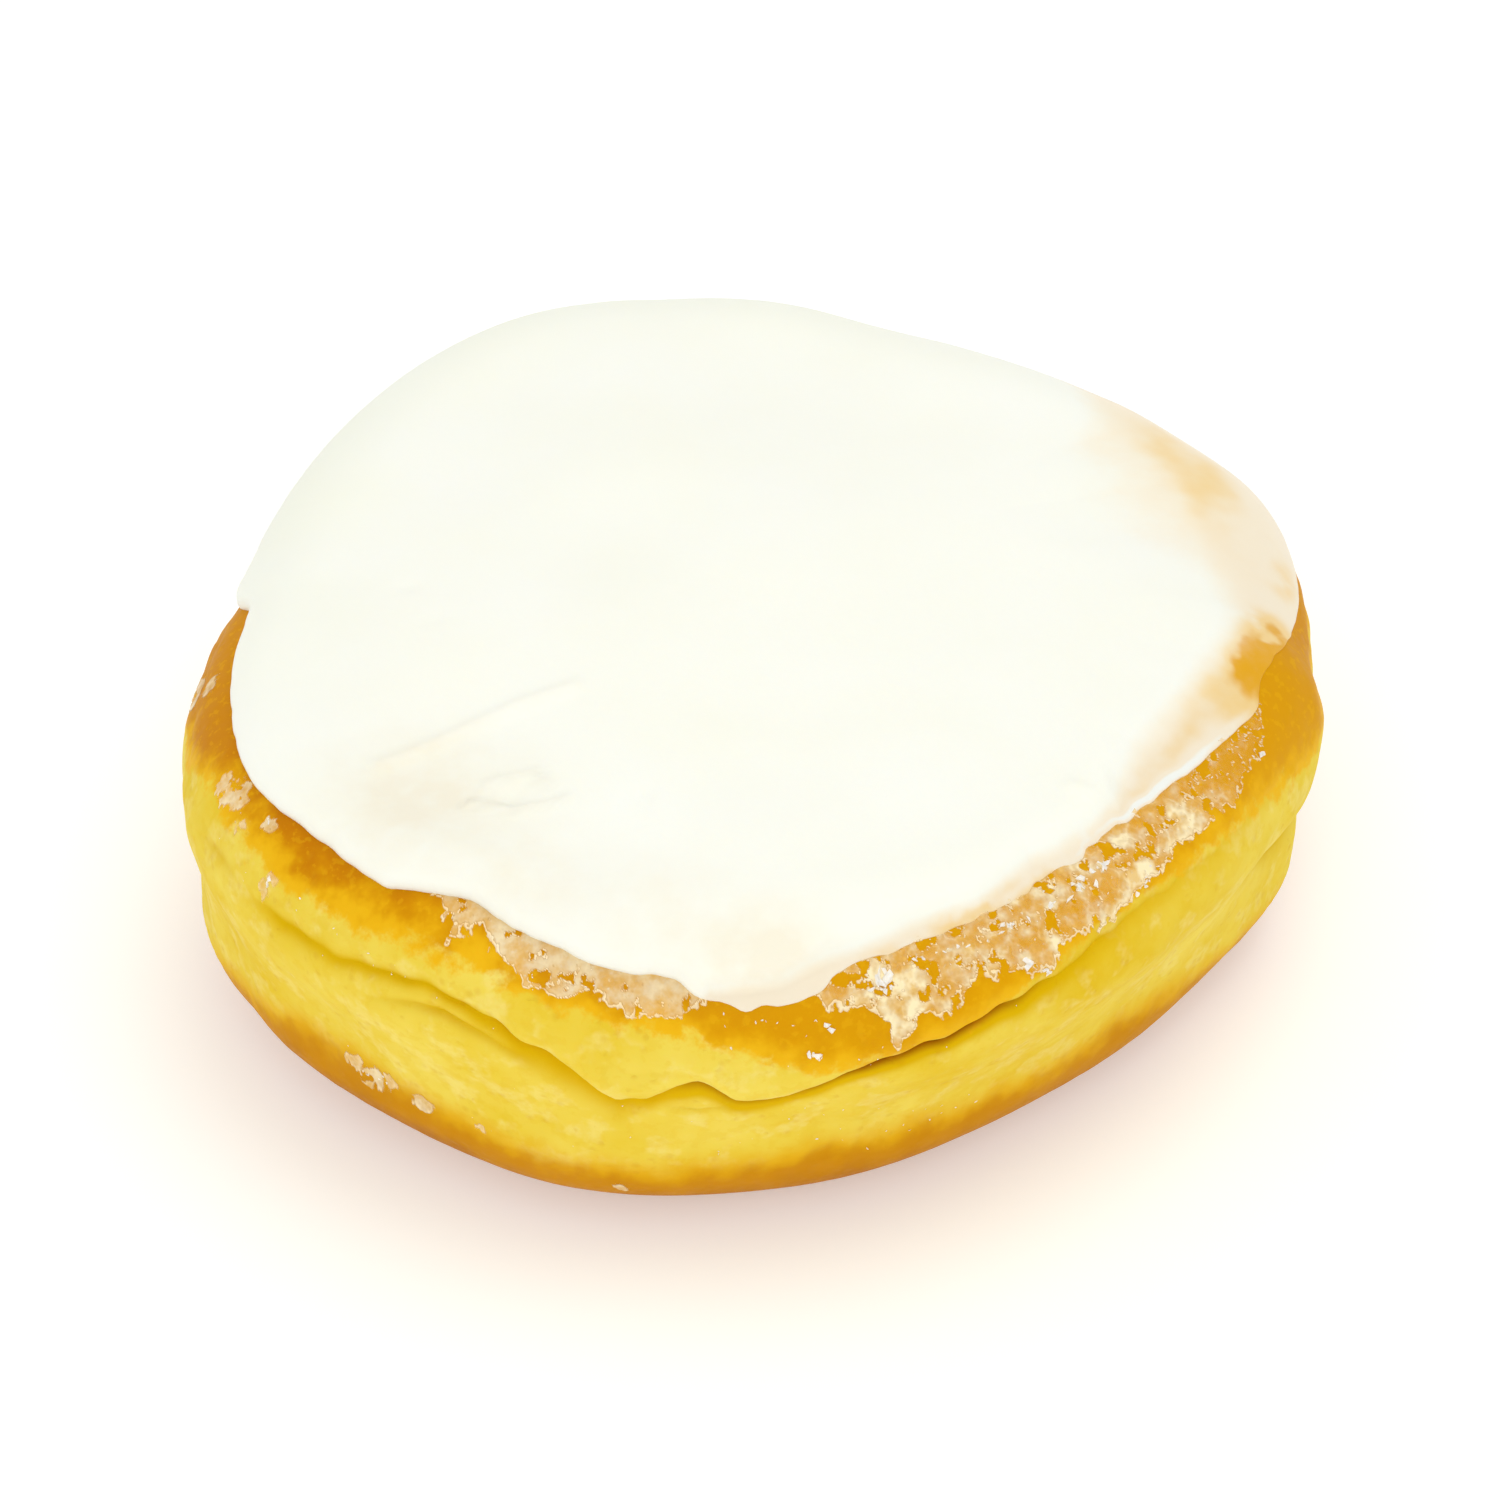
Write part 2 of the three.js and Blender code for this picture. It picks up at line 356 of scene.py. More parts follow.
def fold_station(deg):
    """The station of the bottom of the fold, with a fine waver."""
    turn = np.radians(deg)
    waver = 0.1 * np.sin(53 * turn) + 0.09 * np.sin(89 * turn + 1)
    return station_at(deg, around(FOLD_PATH, deg) + waver)


def dough_stations():
    fold = fold_station(DEGREES)
    everywhere = np.ones(COLUMNS)
    base = np.linspace(OUT_FROM_MIDDLE - 1, BASE_END, BASE_RINGS)[:-1, None] * everywhere
    waist = fold - (fold - BASE_END) * crowded(WAIST_RINGS, CROWDING)[::-1, None]
    crust = fold + (CRUST_END - fold) * crowded(CRUST_RINGS, CROWDING)[1:, None]
    hidden = np.linspace(CRUST_END, 4 - OUT_FROM_MIDDLE, HIDDEN_RINGS)[1:, None] * everywhere
    return np.concatenate([base, waist, crust, hidden])


print("the dough is built from", len(dough_stations()), "rings of", COLUMNS, "points")


# %% [markdown]
# The fold is only the largest mark. A shorter crease runs beside it where the side began to buckle
# twice, a little tuck pinches the dough at the front, and the heel has a step where the browned
# underside ends. Broad swells and fine wrinkles go on top of all of it.

# %% Smaller creases, given by their path, depth and half width
CREASES = [
    {"path": {231: 21.0, 238: 22.3, 241: 22.4, 245: 21.5, 251: 19.4},
     "deep": 0.8, "wide": 0.6},
    {"path": {262: 16.8, 266: 15.6, 270: 16.6}, "deep": 0.45, "wide": 0.6},
    {"path": {204: 22.6, 208: 23.2, 211: 23.4, 215: 23.6}, "deep": 0.35, "wide": 0.7},
    {"path": {334: 16.8, 342: 15.4, 350: 14.4, 358: 14.2}, "deep": 0.8, "wide": 1.4},
    {"path": {252: 22.0, 260: 20.6, 268: 21.2, 276: 22.4}, "deep": 0.18, "wide": 0.6},
    {"path": {276: 13.2, 284: 11.4, 290: 10.6}, "deep": 0.25, "wide": 0.7},
    {"path": {296: 19.0, 312: 18.2, 330: 17.2, 350: 15.5}, "deep": 0.3, "wide": 1.6},
    {"path": {62: 15.0, 80: 14.0, 102: 15.2}, "deep": 0.35, "wide": 1.4},
    {"path": {140: 17.0, 158: 16.0, 172: 17.6}, "deep": 0.3, "wide": 1.2},
]
print(len(CREASES), "short creases besides the main fold")


def crease_depth(deg, height, crease):
    """How deep a short crease is at each point, fading out at both of its ends."""
    at, level = columns_of(crease["path"])
    along = np.interp(deg, at, np.linspace(0, 1, len(at)), left=-1, right=-1)
    fade = np.where(along < 0, 0, np.sin(math.pi * np.clip(along, 0, 1)))
    away = (height - np.interp(deg, at, level)) / crease["wide"]
    return crease["deep"] * fade * np.exp(-np.abs(away) ** 1.4)


# %% Where the crust browned: its lower edge at the top and its upper edge at the heel
CRUST_EDGE = {
    0: 22.5, 20: 23, 60: 21, 100: 20.5, 150: 21.5, 180: 21.6, 188: 22.4, 196: 23.8, 204: 26.0,
    221: 25.9, 240: 26.6, 252: 25.6, 263: 24.3, 271: 23.0, 277: 21.6, 284: 22.0, 295: 23.6,
    304: 25.2, 314: 26.0, 328: 25.6, 345: 23.0,
}
HEEL_EDGE = {
    0: 6.5, 40: 8.5, 90: 9.5, 140: 8.0, 185: 6.0, 198: 6.8, 207: 8.4, 212: 9.4, 219: 11.0,
    228.5: 11.1, 238.5: 10.4, 247.5: 9.1, 252: 8.9, 260.5: 8.6, 270: 9.0, 280: 10.0, 287: 10.0,
    300: 9.4, 308: 9.5, 318: 9.8, 327: 9.2, 335: 7.6, 345: 7.0,
}
# How strongly the crust browned, by angle.
BROWNING = {
    0: 0.6, 90: 0.6, 185: 0.7, 200: 0.85, 215: 1.0, 236: 0.8, 262: 0.5, 285: 0.25, 310: 0.2,
    332: 0.25, 350: 0.35,
}
pale_band = around(CRUST_EDGE, DEGREES) - around(HEEL_EDGE, DEGREES)
print("the pale waist is", round(pale_band.min(), 1), "to", round(pale_band.max(), 1), "mm high")

# %% [markdown]
# The dough's real surface is the smooth round moved in and out along its normals. The moves are added
# up from separate helpers, so that each one can be changed alone: broad swells, the dent and the lip
# of the fold, wrinkles, and the small steps where the browned skin ends.


# %% Broad swells, and the dent beside the fold
def swells(points):
    """The broad unevenness of the dough, which the icing follows too."""
    return 0.35 * ease((points[..., 2] - 1) / 5) * noise(points, 13, 2)


def beside_the_fold(deg, arc):
    """The dent of the fold, how far up its lip each point lies, and the painted shade inside the fold.
    """
    below, above = np.maximum(-arc, 0), np.maximum(arc, 0)
    dent_below = np.exp(-((below / around(FOLD_BELOW, deg)) ** 1.15))
    reach = above / around(LIP_ABOVE, deg)
    dent_above = np.exp(-(reach**1.1))
    dent = np.where(arc < 0, dent_below, dent_above)
    shade_below = np.exp(-((below / (1.5 * around(FOLD_BELOW, deg))) ** 1.5))
    fold_shade = around(FOLD_SHADE_AMOUNT, deg) * np.where(arc < 0, shade_below, dent_above**1.8)
    return dent, reach, fold_shade


# %% Wrinkles and the steps of the browned skin
def wrinkles(smooth, deg, arc):
    """Fine unevenness: on the waist, all over, and pleated just above the fold at the front."""
    height = smooth[..., 2]
    waist = ease((height - 4) / 5) * ease((27 - height) / 4)
    fine = 0.15 * waist * rough(smooth, 5, 3)
    fine = fine + 0.04 * ease((height - 1) / 5) * rough(smooth, 1.8, 5, 2)
    pleated = bump(deg, 255, 50) * np.exp(-(((arc - 0.8) / 1.8) ** 2))
    return fine + 0.09 * pleated * rough(smooth, [3.6, 3.6, 0.9], 13, 3)


def browned(smooth, deg):
    """Millimetres above the crust's edge and below the heel's, and the steps the two edges make."""
    height = smooth[..., 2]
    crust = height - around(CRUST_EDGE, deg)
    heel = around(HEEL_EDGE, deg) - height + 0.6 * rough(smooth, [2.4, 2.4, 7], 8)
    ragged = 0.9 * rough(smooth, [3.2, 3.2, 2.0], 9)
    steps = 0.06 * ease((crust + ragged) / 0.8) - 0.12 * ease(heel / 1.6) * ease((height - 1) / 3)
    return crust, heel, steps


# %% The relief of the dough
def dough_relief(deg, station):
    """Points of the dough's real surface, its normals, and what the finish needs to know there."""
    smooth, normal, up = surface(deg, station)
    height = smooth[..., 2]
    arc = run(station) - run(fold_station(deg))
    uneven = 1 + 0.25 * noise(smooth * [1, 1, 0], 6, 1) + 0.2 * noise(smooth * [1, 1, 0], 2.5, 4)
    depth = around(FOLD_DEPTH, deg) * uneven
    dent, reach, fold_shade = beside_the_fold(deg, arc)
    swell = LIP_SWELL * np.exp(-(((arc - 1.9) / 1.3) ** 2))
    short = sum(crease_depth(deg, height, crease) for crease in CREASES)
    crust, heel, steps = browned(smooth, deg)
    out = swells(smooth) + wrinkles(smooth, deg, arc) + steps + depth * (swell - dent) - short
    hang = LIP_HANG * depth * ease(depth - 0.4) * reach * np.exp(1 - reach)
    points = smooth + normal * out[..., None] - up * hang[..., None]
    # The underside keeps its smooth shape, and nothing above it reaches below the floor.
    points[..., 2] = np.maximum(points[..., 2], np.where(station < 0, smooth[..., 2], 0))
    # The fold value is painted shade: it darkens the fold and the short creases.
    return points, normal, {"crust_mm": crust, "heel_mm": heel, "fold": fold_shade + 0.5 * short}


fold_at_front = dough_relief(FRONT, fold_station(FRONT))[0]
print("at the front, the bottom of the fold is", round(fold_at_front[0, 2], 1), "mm up")


# %% Make the dough
def fried_dough():
    station = dough_stations()
    deg = np.broadcast_to(DEGREES, station.shape)
    points, _, values = dough_relief(deg, station)
    # Where the pale waist turned amber: at the front right, at the back and a little at the left.
    values["toast"] = 0.5 * bump(deg, 303, 24) + 0.4 * bump(deg, 90, 70) + 0.22 * bump(deg, 212, 22)
    values["browning"] = around(BROWNING, deg)
    return mesh_from_rings("fried_dough", points, values)


dough = fried_dough()
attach(dough, "root")
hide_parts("dough")

# %% [markdown]
# ## The icing
#
# The icing is poured on warm. It levels over the top, runs a little way down the shoulder and sets
# with a fat rounded edge, in shallow scallops and one pointed drip at the front. Round that edge it
# stands up in a soft bead with a hollow behind it. On the right there was too little: it thins to a
# film and the crust shows through. The mesh is one closed shell: an outer skin that carries this
# relief, and an inner skin that follows the dough.

# %% The icing's edge and how thick it is
ICING_EDGE = {
    2: 26.6, 10: 25.6, 22: 24.6, 45: 23.4, 75: 21.6, 100: 22.6, 125: 21.8, 150: 23.4, 166: 24.8,
    171: 25.2, 174: 25.9, 178: 27.5, 184.5: 28.0, 190: 28.1, 196: 28.3, 202: 28.4, 209: 28.3,
    218: 28.65, 225: 28.8, 231: 28.6, 235: 29.0, 240.5: 29.4, 244.5: 29.1, 248: 28.75,
    252: 28.5, 255: 28.1, 260: 28.0, 263.5: 27.8, 266: 27.0, 269: 26.7, 270.5: 26.2, 272: 26.5,
    275: 26.8, 278: 27.3, 279.3: 28.0, 281: 28.4, 284: 28.7, 288: 29.0, 292: 29.2, 299: 29.5,
    305: 29.8, 313: 29.9, 322: 29.9, 331: 29.5, 342: 29.0, 347: 29.5, 351: 29.3, 355: 28.4,
    358.5: 27.4,
}
# Where the full coat ends on the right, as angle: station. Beyond it only a film is left.
FULL_COAT = {
    264: 2.3, 267: 2.46, 274: 2.5, 279: 2.6, 284: 2.68, 288: 2.72, 296: 2.73, 300: 2.79,
    304: 2.82, 308: 2.77, 314: 2.75, 318: 2.78, 321: 2.86, 327: 2.93, 346: 2.95, 356: 2.88,
    3.5: 2.98, 12: 3.12, 22: 3.2, 34: 3.1, 44: 2.8, 54: 2.5, 66: 2.1,
}
# Over how many millimetres it thins there.
FADE = {
    264: 1.6, 290: 1.8, 305: 2.2, 318: 2.6, 330: 4.5, 346: 6, 3: 8, 20: 9, 36: 10, 66: 12,
}
FILM = 0.1
# The coat's bed lies this far above the smooth dough, and its inner skin this far below the bed.
BED, SINK = 0.06, 0.1
MM_PER_STATION = 14.5
BEAD, BEAD_AT, BEAD_WIDTH = 0.25, 2.8, 1.7
HOLLOW, HOLLOW_AT, HOLLOW_WIDTH = 0.35, 8.0, 3.4
print("the coat is", COAT, "mm thick and its film", FILM, "mm")


def on_the_right(table, deg):
    """A value by angle over the right side only; it is 0 elsewhere."""
    at, value = columns_of(table)
    at = np.where(at < 180, at + 360, at)
    turned = np.where(deg < 180, deg + 360, deg)
    return np.interp(turned, at, value, left=0, right=0)


# %% Marks on the icing: ridges, tucks and dimples, by their places in plan
RIDGES = [
    {"path": [[-28, -22], [-22, -19], [-17.5, -16.6], [-13.2, -14.8]], "high": 0.3, "wide": 0.8},
    {"path": [[-21, -26.9], [-17, -28.3], [-13.4, -27.5]], "high": 0.36, "wide": 0.45},
    {"path": [[-19.5, -24.9], [-16, -24.3], [-14.6, -25.9]], "high": 0.28, "wide": 0.4},
    {"path": [[25.5, -25.5], [28, -26.5], [30, -29]], "high": 0.16, "wide": 0.7},
    {"path": [[-2, -20], [6, -21.5], [15, -19.5]], "high": 0.06, "wide": 2.2},
]
# Dimples, as [x, y, how deep, radius].
DIMPLES = [
    [-26.7, -0.6, 0.16, 0.9], [-24.4, -5.6, 0.12, 0.8], [-7.3, -27.4, 0.16, 0.9], [29, -24, 0.14, 0.7],
    [-17.5, -26.8, 0.3, 0.9], [-14, -37, 0.25, 3.5], [-25, -25, 0.35, 7.0], [8, -33, 0.22, 6.0],
    [12, 18, 0.2, 11.0], [-18, 22, 0.15, 9.0],
]
print("the icing carries", len(RIDGES), "ridges and", len(DIMPLES), "dimples")


# %% How high the marks stand at each point
def distance_to_path(points, path):
    """Millimetres in plan from each point to a broken line."""
    nearest = np.full(points.shape[:-1], 1e9)
    for start, end in zip(np.array(path[:-1], float), np.array(path[1:], float)):
        way = end - start
        share = np.clip(((points[..., :2] - start) @ way) / (way @ way), 0, 1)
        gap = np.linalg.norm(points[..., :2] - start - share[..., None] * way, axis=-1)
        nearest = np.minimum(nearest, gap)
    return nearest


def ridges(points):
    return sum(
        mark["high"] * np.exp(-((distance_to_path(points, mark["path"]) / mark["wide"]) ** 2))
        for mark in RIDGES
    )


def spot(points, x, y, radius):
    """1 at a place in plan, fading to 0 over a radius in millimetres."""
    away = np.hypot(points[..., 0] - x, points[..., 1] - y) / radius
    return np.exp(-(away**2))


def icing_marks(points):
    total = ridges(points)
    for x, y, deep, radius in DIMPLES:
        total = total - deep * spot(points, x, y, radius)
    return total


# %% The icing's edge
def icing_edge(deg):
    """The station of the icing's lower edge, with fine scallops."""
    edge = station_at(deg, around(ICING_EDGE, deg))
    ring = place(deg, *section(deg, edge))
    finest = 0.005 + 0.012 * bump(deg, 305, 25)
    return edge + 0.007 * noise(ring, 3.0, 21) + finest * noise(ring, 1.2, 22)


edge_height = section(DEGREES, icing_edge(DEGREES))[1]
print("the icing ends", round(edge_height.min(), 1), "to", round(edge_height.max(), 1), "mm up")

# %% How the film is coloured, and where the coat is warm
# Where the film is thinnest: [angle, station, spread in degrees and in stations, how much, how ragged].
THIN_PATCHES = [
    [23, 2.85, 10, 0.2, 0.36, 0.15], [29, 2.65, 10, 0.14, 0.13, 0.15], [348, 2.75, 6, 0.12, 0.45, 0.8],
    [355, 2.6, 4, 0.15, 0.6, 0.8], [7, 2.45, 3.5, 0.12, 0.3, 0.5], [343, 2.84, 7, 0.12, 0.25, 0.3],
    [330, 2.78, 9, 0.06, 0.22, 0.3], [300, 2.72, 16, 0.05, 0.15, 0.5],
]
# Where the coat lies thin enough to look warm, as [x, y, radius, how much] in plan.
WARM_PATCHES = [[-25, -26, 7, 0.9], [-16, -36, 5, 0.5], [-6, -39.5, 5, 0.45], [2, -44, 4.5, 1.0]]


def film_tone(deg, station, points, inward):
    """How white the thin film is: 1 is white, 0.8 peach, 0.4 tan, 0 bare crust."""
    tone = 0.83 + 0.08 * rough(points, 4, 27) + 0.1 * bump(deg, 303, 26) * rough(points, 1.3, 26)
    for angle, level, wide, tall, much, ragged in THIN_PATCHES:
        near = bump(deg, angle, wide) * np.exp(-(((station - level) / tall) ** 2))
        tone = tone - much * near * (1 + ragged * rough(points, 2.5, 28))
    tear = inward - rough(points, 3.0, 29)
    tone = tone - 0.88 * bump(deg, 348.5, 8) * (1 - ease((tear - 0.2) / 3.6))
    tone = tone - 0.35 * bump(deg, 298, 17) * (1 - ease((tear + 0.2) / 1.2))
    line = bump(deg, 324, 14) * np.exp(-(((inward - 0.45) / 0.4) ** 2))
    return np.maximum(tone, mix(tone, 1.1, line))


def warmth(points):
    return sum(much * spot(points, x, y, radius) for x, y, radius, much in WARM_PATCHES)


print(len(THIN_PATCHES), "places show the crust through the film")

# %% The coat's thickness and its relief
def icing_coat(deg, station, smooth, inward):
    """How fully the coat covers each point, from film to full, and how thick it is there."""
    past = (station - on_the_right(FULL_COAT, deg)) * MM_PER_STATION + 0.5 * noise(smooth, 7, 25)
    full = ease(past / (on_the_right(FADE, deg) + 0.1) + 0.5)
    # At the back the film is thicker, so that the dough's bumps don't come through it.
    film = FILM + 0.3 * bump(deg, 45, 30)
    coat = mix(film, COAT * mix(0.6, 1, ease(inward / 9)), full)
    round_over = np.clip(inward / (1.1 * coat), 0, 1)
    return full, coat * np.sqrt(1 - (1 - round_over) ** 2)


def icing_relief(deg, smooth, inward, full):
    """The bead along the edge, the hollow behind it, the marks and the slow unevenness."""
    bead = BEAD * np.exp(-(((inward - BEAD_AT) / BEAD_WIDTH) ** 2))
    hollow = HOLLOW * np.exp(-(((inward - HOLLOW_AT) / HOLLOW_WIDTH) ** 2))
    front = 0.35 + 0.65 * bump(deg, 240, 60)
    inside = ease(inward / 3) * full
    relief = full * front * (bead - hollow) + 1.4 * inside * icing_marks(smooth)
    return relief + inside * (0.2 * noise(smooth, 17, 31) + 0.04 * noise(smooth, 5, 32))


# %% Make the icing
# Rings crowd towards the edge over the first share of the way in, and are even from there on.
EDGE_RINGS, TOP_RINGS, EDGE_SHARE, EDGE_CROWDING, LAST_RING = 78, 34, 0.55, 2.6, 3.985
# The hidden inner skin has only one ring for every so many of the outer one.
INNER_STEP = 6


def white_icing():
    edge = icing_edge(DEGREES)
    near_edge = crowded(EDGE_RINGS, EDGE_CROWDING)[:-1] * EDGE_SHARE
    shares = np.concatenate([near_edge, np.linspace(EDGE_SHARE, 1, TOP_RINGS)])
    station = edge + (LAST_RING - edge) * shares[:, None]
    deg = np.broadcast_to(DEGREES, station.shape)
    smooth, normal, _ = surface(deg, station)
    inward = run(station) - run(edge)
    full, thick = icing_coat(deg, station, smooth, inward)
    relief = icing_relief(deg, smooth, inward, full)
    bed = swells(smooth) + BED
    outer = smooth + normal * (bed + thick + relief)[..., None]
    inner = (smooth + normal * (bed - SINK)[..., None])[::INNER_STEP]
    tone = film_tone(deg, station, smooth, inward)
    # The rim value is painted shade: the back rim turns greener and darker where it curves away from
    # the light.
    rim = bump(deg, 100, 65) * np.exp(-((inward / 8) ** 2))
    # The warm value is partly the thin coat's real warmth and partly painted shade along the ridges.
    values = {"cover": full, "tone": tone, "warm_and_ridge_shade": warmth(outer) + 0.6 * ridges(outer), "rim": rim}
    values = {key: np.concatenate([v[::INNER_STEP][::-1], v]) for key, v in values.items()}
    return mesh_from_rings("white_icing", np.concatenate([inner[::-1], outer]), values)


icing = white_icing()
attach(icing, "root")
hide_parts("icing")

# %% [markdown]
# ## The dried glaze
#
# Where the icing ran over the crust and drew back, it left a film thinner than paper that dried pink
# and cloudy, with a raised white rim of sugar along its torn lower edge. Such an outline is far too
# ragged to draw point by point. Instead a height is worked out over a fine grid that lies on the
# crust: where the height is above the dough the film shows, and where it is below, the film dips
# under the surface. The torn edge is simply where the two surfaces cross, and the cells of the grid
# that lie beyond it are left out.


# %% How far each smear reaches below the icing, in millimetres, by angle
FRONT_REACH = {
    237: 0, 238: 0.7, 240: 3.0, 241.5: 2.4, 243: 1.5, 245: 2.0, 247: 2.3, 248.5: 2.9,
    250.5: 3.3, 252.2: 3.7, 253.5: 3.2, 254.5: 2.1, 257: 2.6, 260: 3.2, 262: 3.6, 264.5: 2.6,
    266: 0,
}
RIGHT_REACH = {
    277: 0, 278.5: 2.0, 280.2: 2.8, 283: 3.8, 284.5: 6.4, 287: 5.8, 290: 6.0, 293.5: 4.0,
    297.5: 4.5, 299.5: 5.4, 303.8: 5.8, 308: 5.6, 311.5: 5.6, 315: 5.0, 319: 4.3, 325: 4.2,
    331: 3.9, 336: 3.0, 341: 1.6, 344: 0,
}
# Small patches of the same film on the left of the crust and on the heel: [angle, height, radius].
SIDE_PATCHES = [
    [186, 24.0, 1.5], [188.5, 26.6, 1.1], [185.5, 22.6, 1.0], [206, 26.9, 1.0], [208.5, 27.4, 1.1],
    [211.5, 26.6, 0.7], [214.5, 27.8, 0.7], [218.5, 25.6, 0.6], [218.3, 24.8, 0.65],
]
HEEL_PATCHES = [
    [227.5, 10.0, 1.0], [229.5, 9.2, 1.2], [232.3, 9.8, 0.8], [236, 9.0, 0.7], [243, 9.3, 0.6],
    [257.5, 5.4, 0.6],
]
# The spacing of the films' grids, and how far they start above the top line, in millimetres.
FINE, ABOVE = 0.11, 0.35
print(len(SIDE_PATCHES) + len(HEEL_PATCHES), "small patches of glaze lie apart from the smears")


# %% A fine grid on the crust, and two ways to say where the film lies on it
def film_grid(start, stop, top, longest):
    """Angles, millimetres below the top line, and stations."""
    deg = np.linspace(start, stop, int(math.radians(stop - start) * BULGE_RADIUS / FINE))
    down = np.linspace(-ABOVE, longest, int(longest / FINE))
    deg, down = np.meshgrid(deg, down)
    return deg, down, np.interp(run(top(deg)) - down, RUN, range(-1, 5))


def inside_reach(deg, down, reach):
    """Millimetres inside the lower edge of a smear."""
    return np.interp(deg, *columns_of(reach)) - down


def inside_patches(points, patches):
    """Millimetres inside the nearest of several round patches."""
    best = np.full(points.shape[:-1], -9.0)
    for angle, height, radius in patches:
        deg = np.array([float(angle)])
        middle = place(deg, *section(deg, station_at(deg, height)))[0]
        best = np.maximum(best, radius - np.linalg.norm(points - middle, axis=-1))
    return best


# %% How a film is torn and how cloudy it is, in millimetres
# How thick the film is at its edge, and how much thicker well inside. Its back is sunk in the dough.
GLAZE_THIN, GLAZE_SWELL, SUNK = 0.03, 0.05, 0.25
# How far inside the torn edge the rim stands, and how high. Cells are kept a little past the edge.
RIM_IN, RIM_HIGH, PAST_EDGE = 0.13, 0.05, 0.3


def torn(points, deg, inside, holes, seed, band):
    """Millimetres inside the film's edge, once the edge is ragged and the film has holes."""
    tear = 0.5 * rough(points, 2.2, seed, 4) + 0.45 * rough(points, [0.6, 0.6, 2.4], seed + 5, 3)
    opened = rough(points, [0.9, 0.9, 1.5], seed + 9, 4) - holes - 0.7 * band
    inside = np.minimum(inside + tear, -1.8 * opened)
    return np.minimum(inside, np.minimum(deg - deg.min(), deg.max() - deg) * 1.2 - 0.3)


def cloudiness(points, seed, solid, streaky, band):
    """How much of the crust the film hides: an even share, fine threads and broad veils."""
    threads = np.exp(-((rough(points, [0.8, 0.8, 2.2], seed + 20, 2) / 0.2) ** 2))
    veil = 0.6 * rough(points, 0.9, seed + 21) + 0.6 * rough(points, 3.0, seed + 22)
    return np.clip(solid + streaky * (0.4 * threads + veil) + 0.4 * band, 0.08, 1)


# %% A sheet from the cells that hold the film
def kept_cells(inside):
    """The cells of the grid that hold the film or its edge."""
    near = inside > -PAST_EDGE
    keep = near[:-1, :-1] | near[1:, :-1] | near[1:, 1:] | near[:-1, 1:]
    # Where two kept cells would touch only at a corner, one more cell joins them.
    for view in (keep, keep[:, ::-1]):
        view[:-1, 1:] |= view[:-1, :-1] & view[1:, 1:] & ~view[1:, :-1]
    return keep


def sheet_piece(name, top, back, keep, values):
    """Two skins of the kept cells of one grid, joined by a wall along every border."""
    index = np.arange(top[..., 0].size).reshape(top.shape[:2])
    corners = [index[:-1, :-1], index[1:, :-1], index[1:, 1:], index[:-1, 1:]]
    kept = np.pad(keep, 1)
    beside = [kept[1:-1, :-2], kept[2:, 1:-1], kept[1:-1, 2:], kept[:-2, 1:-1]]
    skin = np.stack(corners, -1)[keep]
    faces = [skin, skin[:, ::-1] + index.size]
    for side in range(4):
        border = keep & ~beside[side]
        first, second = corners[side][border], corners[(side + 1) % 4][border]
        faces.append(np.stack([second, first, first + index.size, second + index.size], -1))
    used, faces = np.unique(np.concatenate(faces), return_inverse=True)
    points = np.concatenate([top.reshape(-1, 3), back.reshape(-1, 3)])[used]
    values = {key: np.tile(value.reshape(-1), 2)[used] for key, value in values.items()}
    return new_piece(name, points, faces.reshape(-1, 4).tolist(), values)


# %% One torn film
def glaze_film(name, grid, inside, holes, seed, solid, streaky, raised=1.0, band=0.0):
    """A closed sheet whose top skin rises out of the dough only where there is glaze."""
    deg, _, station = grid
    points, normal, _ = dough_relief(deg, station)
    inside = torn(points, deg, inside, holes, seed, band)
    rim = raised * np.exp(-(((inside - RIM_IN) / RIM_IN) ** 2))
    grain = rough(points, 0.5, seed + 12, 2)
    on_top = GLAZE_THIN + GLAZE_SWELL * np.tanh(inside)
    tall = np.where(inside > 0, on_top, 0.25 * np.maximum(inside, -0.8))
    tall = tall + rim * (RIM_HIGH + 0.04 * grain) + 0.02 * ease(inside / 0.4) * grain
    body = cloudiness(points, seed, solid, streaky, band) * ease(inside / (0.05 + 0.4 * raised))
    top, back = points + normal * tall[..., None], points - normal * SUNK
    return sheet_piece(name, top, back, kept_cells(inside), {"rim": rim, "body": body})


# %% Make the films
def make_films():
    front = film_grid(236, 267, icing_edge, 4.8)
    right = film_grid(276.5, 344.5, icing_edge, 7.8)
    side = film_grid(183, 221, icing_edge, 7.0)
    heel = film_grid(225, 260, lambda deg: station_at(deg, 12.5 + 0 * deg), 11.0)
    below_front = inside_reach(front[0], front[1], FRONT_REACH)
    below = inside_reach(right[0], right[1], RIGHT_REACH)
    # The right smear has a cloudier band along its lower edge, is cloudiest near its left end and
    # thins out at its right end.
    band = bump(right[0], 312, 11) * np.exp(-(((below - 0.8) / 0.8) ** 2))
    solid = 0.15 + 0.25 * ease((342 - right[0]) / 16) + 0.2 * bump(right[0], 285, 5)
    on_side = inside_patches(place(side[0], *section(side[0], side[2])), SIDE_PATCHES)
    on_heel = inside_patches(place(heel[0], *section(heel[0], heel[2])), HEEL_PATCHES)
    smear = {"holes": 0.75, "seed": 40, "solid": 0.62, "streaky": 0.1}
    long_smear = {"holes": 0.45, "seed": 61, "solid": solid, "streaky": 0.45, "band": band}
    small = {"holes": 0.9, "solid": 0.65, "streaky": 0.15, "raised": 0.4}
    return [
        glaze_film("glaze_film_front", front, below_front, **smear),
        glaze_film("glaze_film_right", right, below, **long_smear),
        glaze_film("glaze_film_side", side, on_side, seed=45, **small),
        glaze_film("glaze_film_heel", heel, on_heel, seed=52, **small),
    ]


films = make_films()
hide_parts("glaze_smear_front")
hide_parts("glaze_smear_right")
for film in films:
    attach(film, "root")

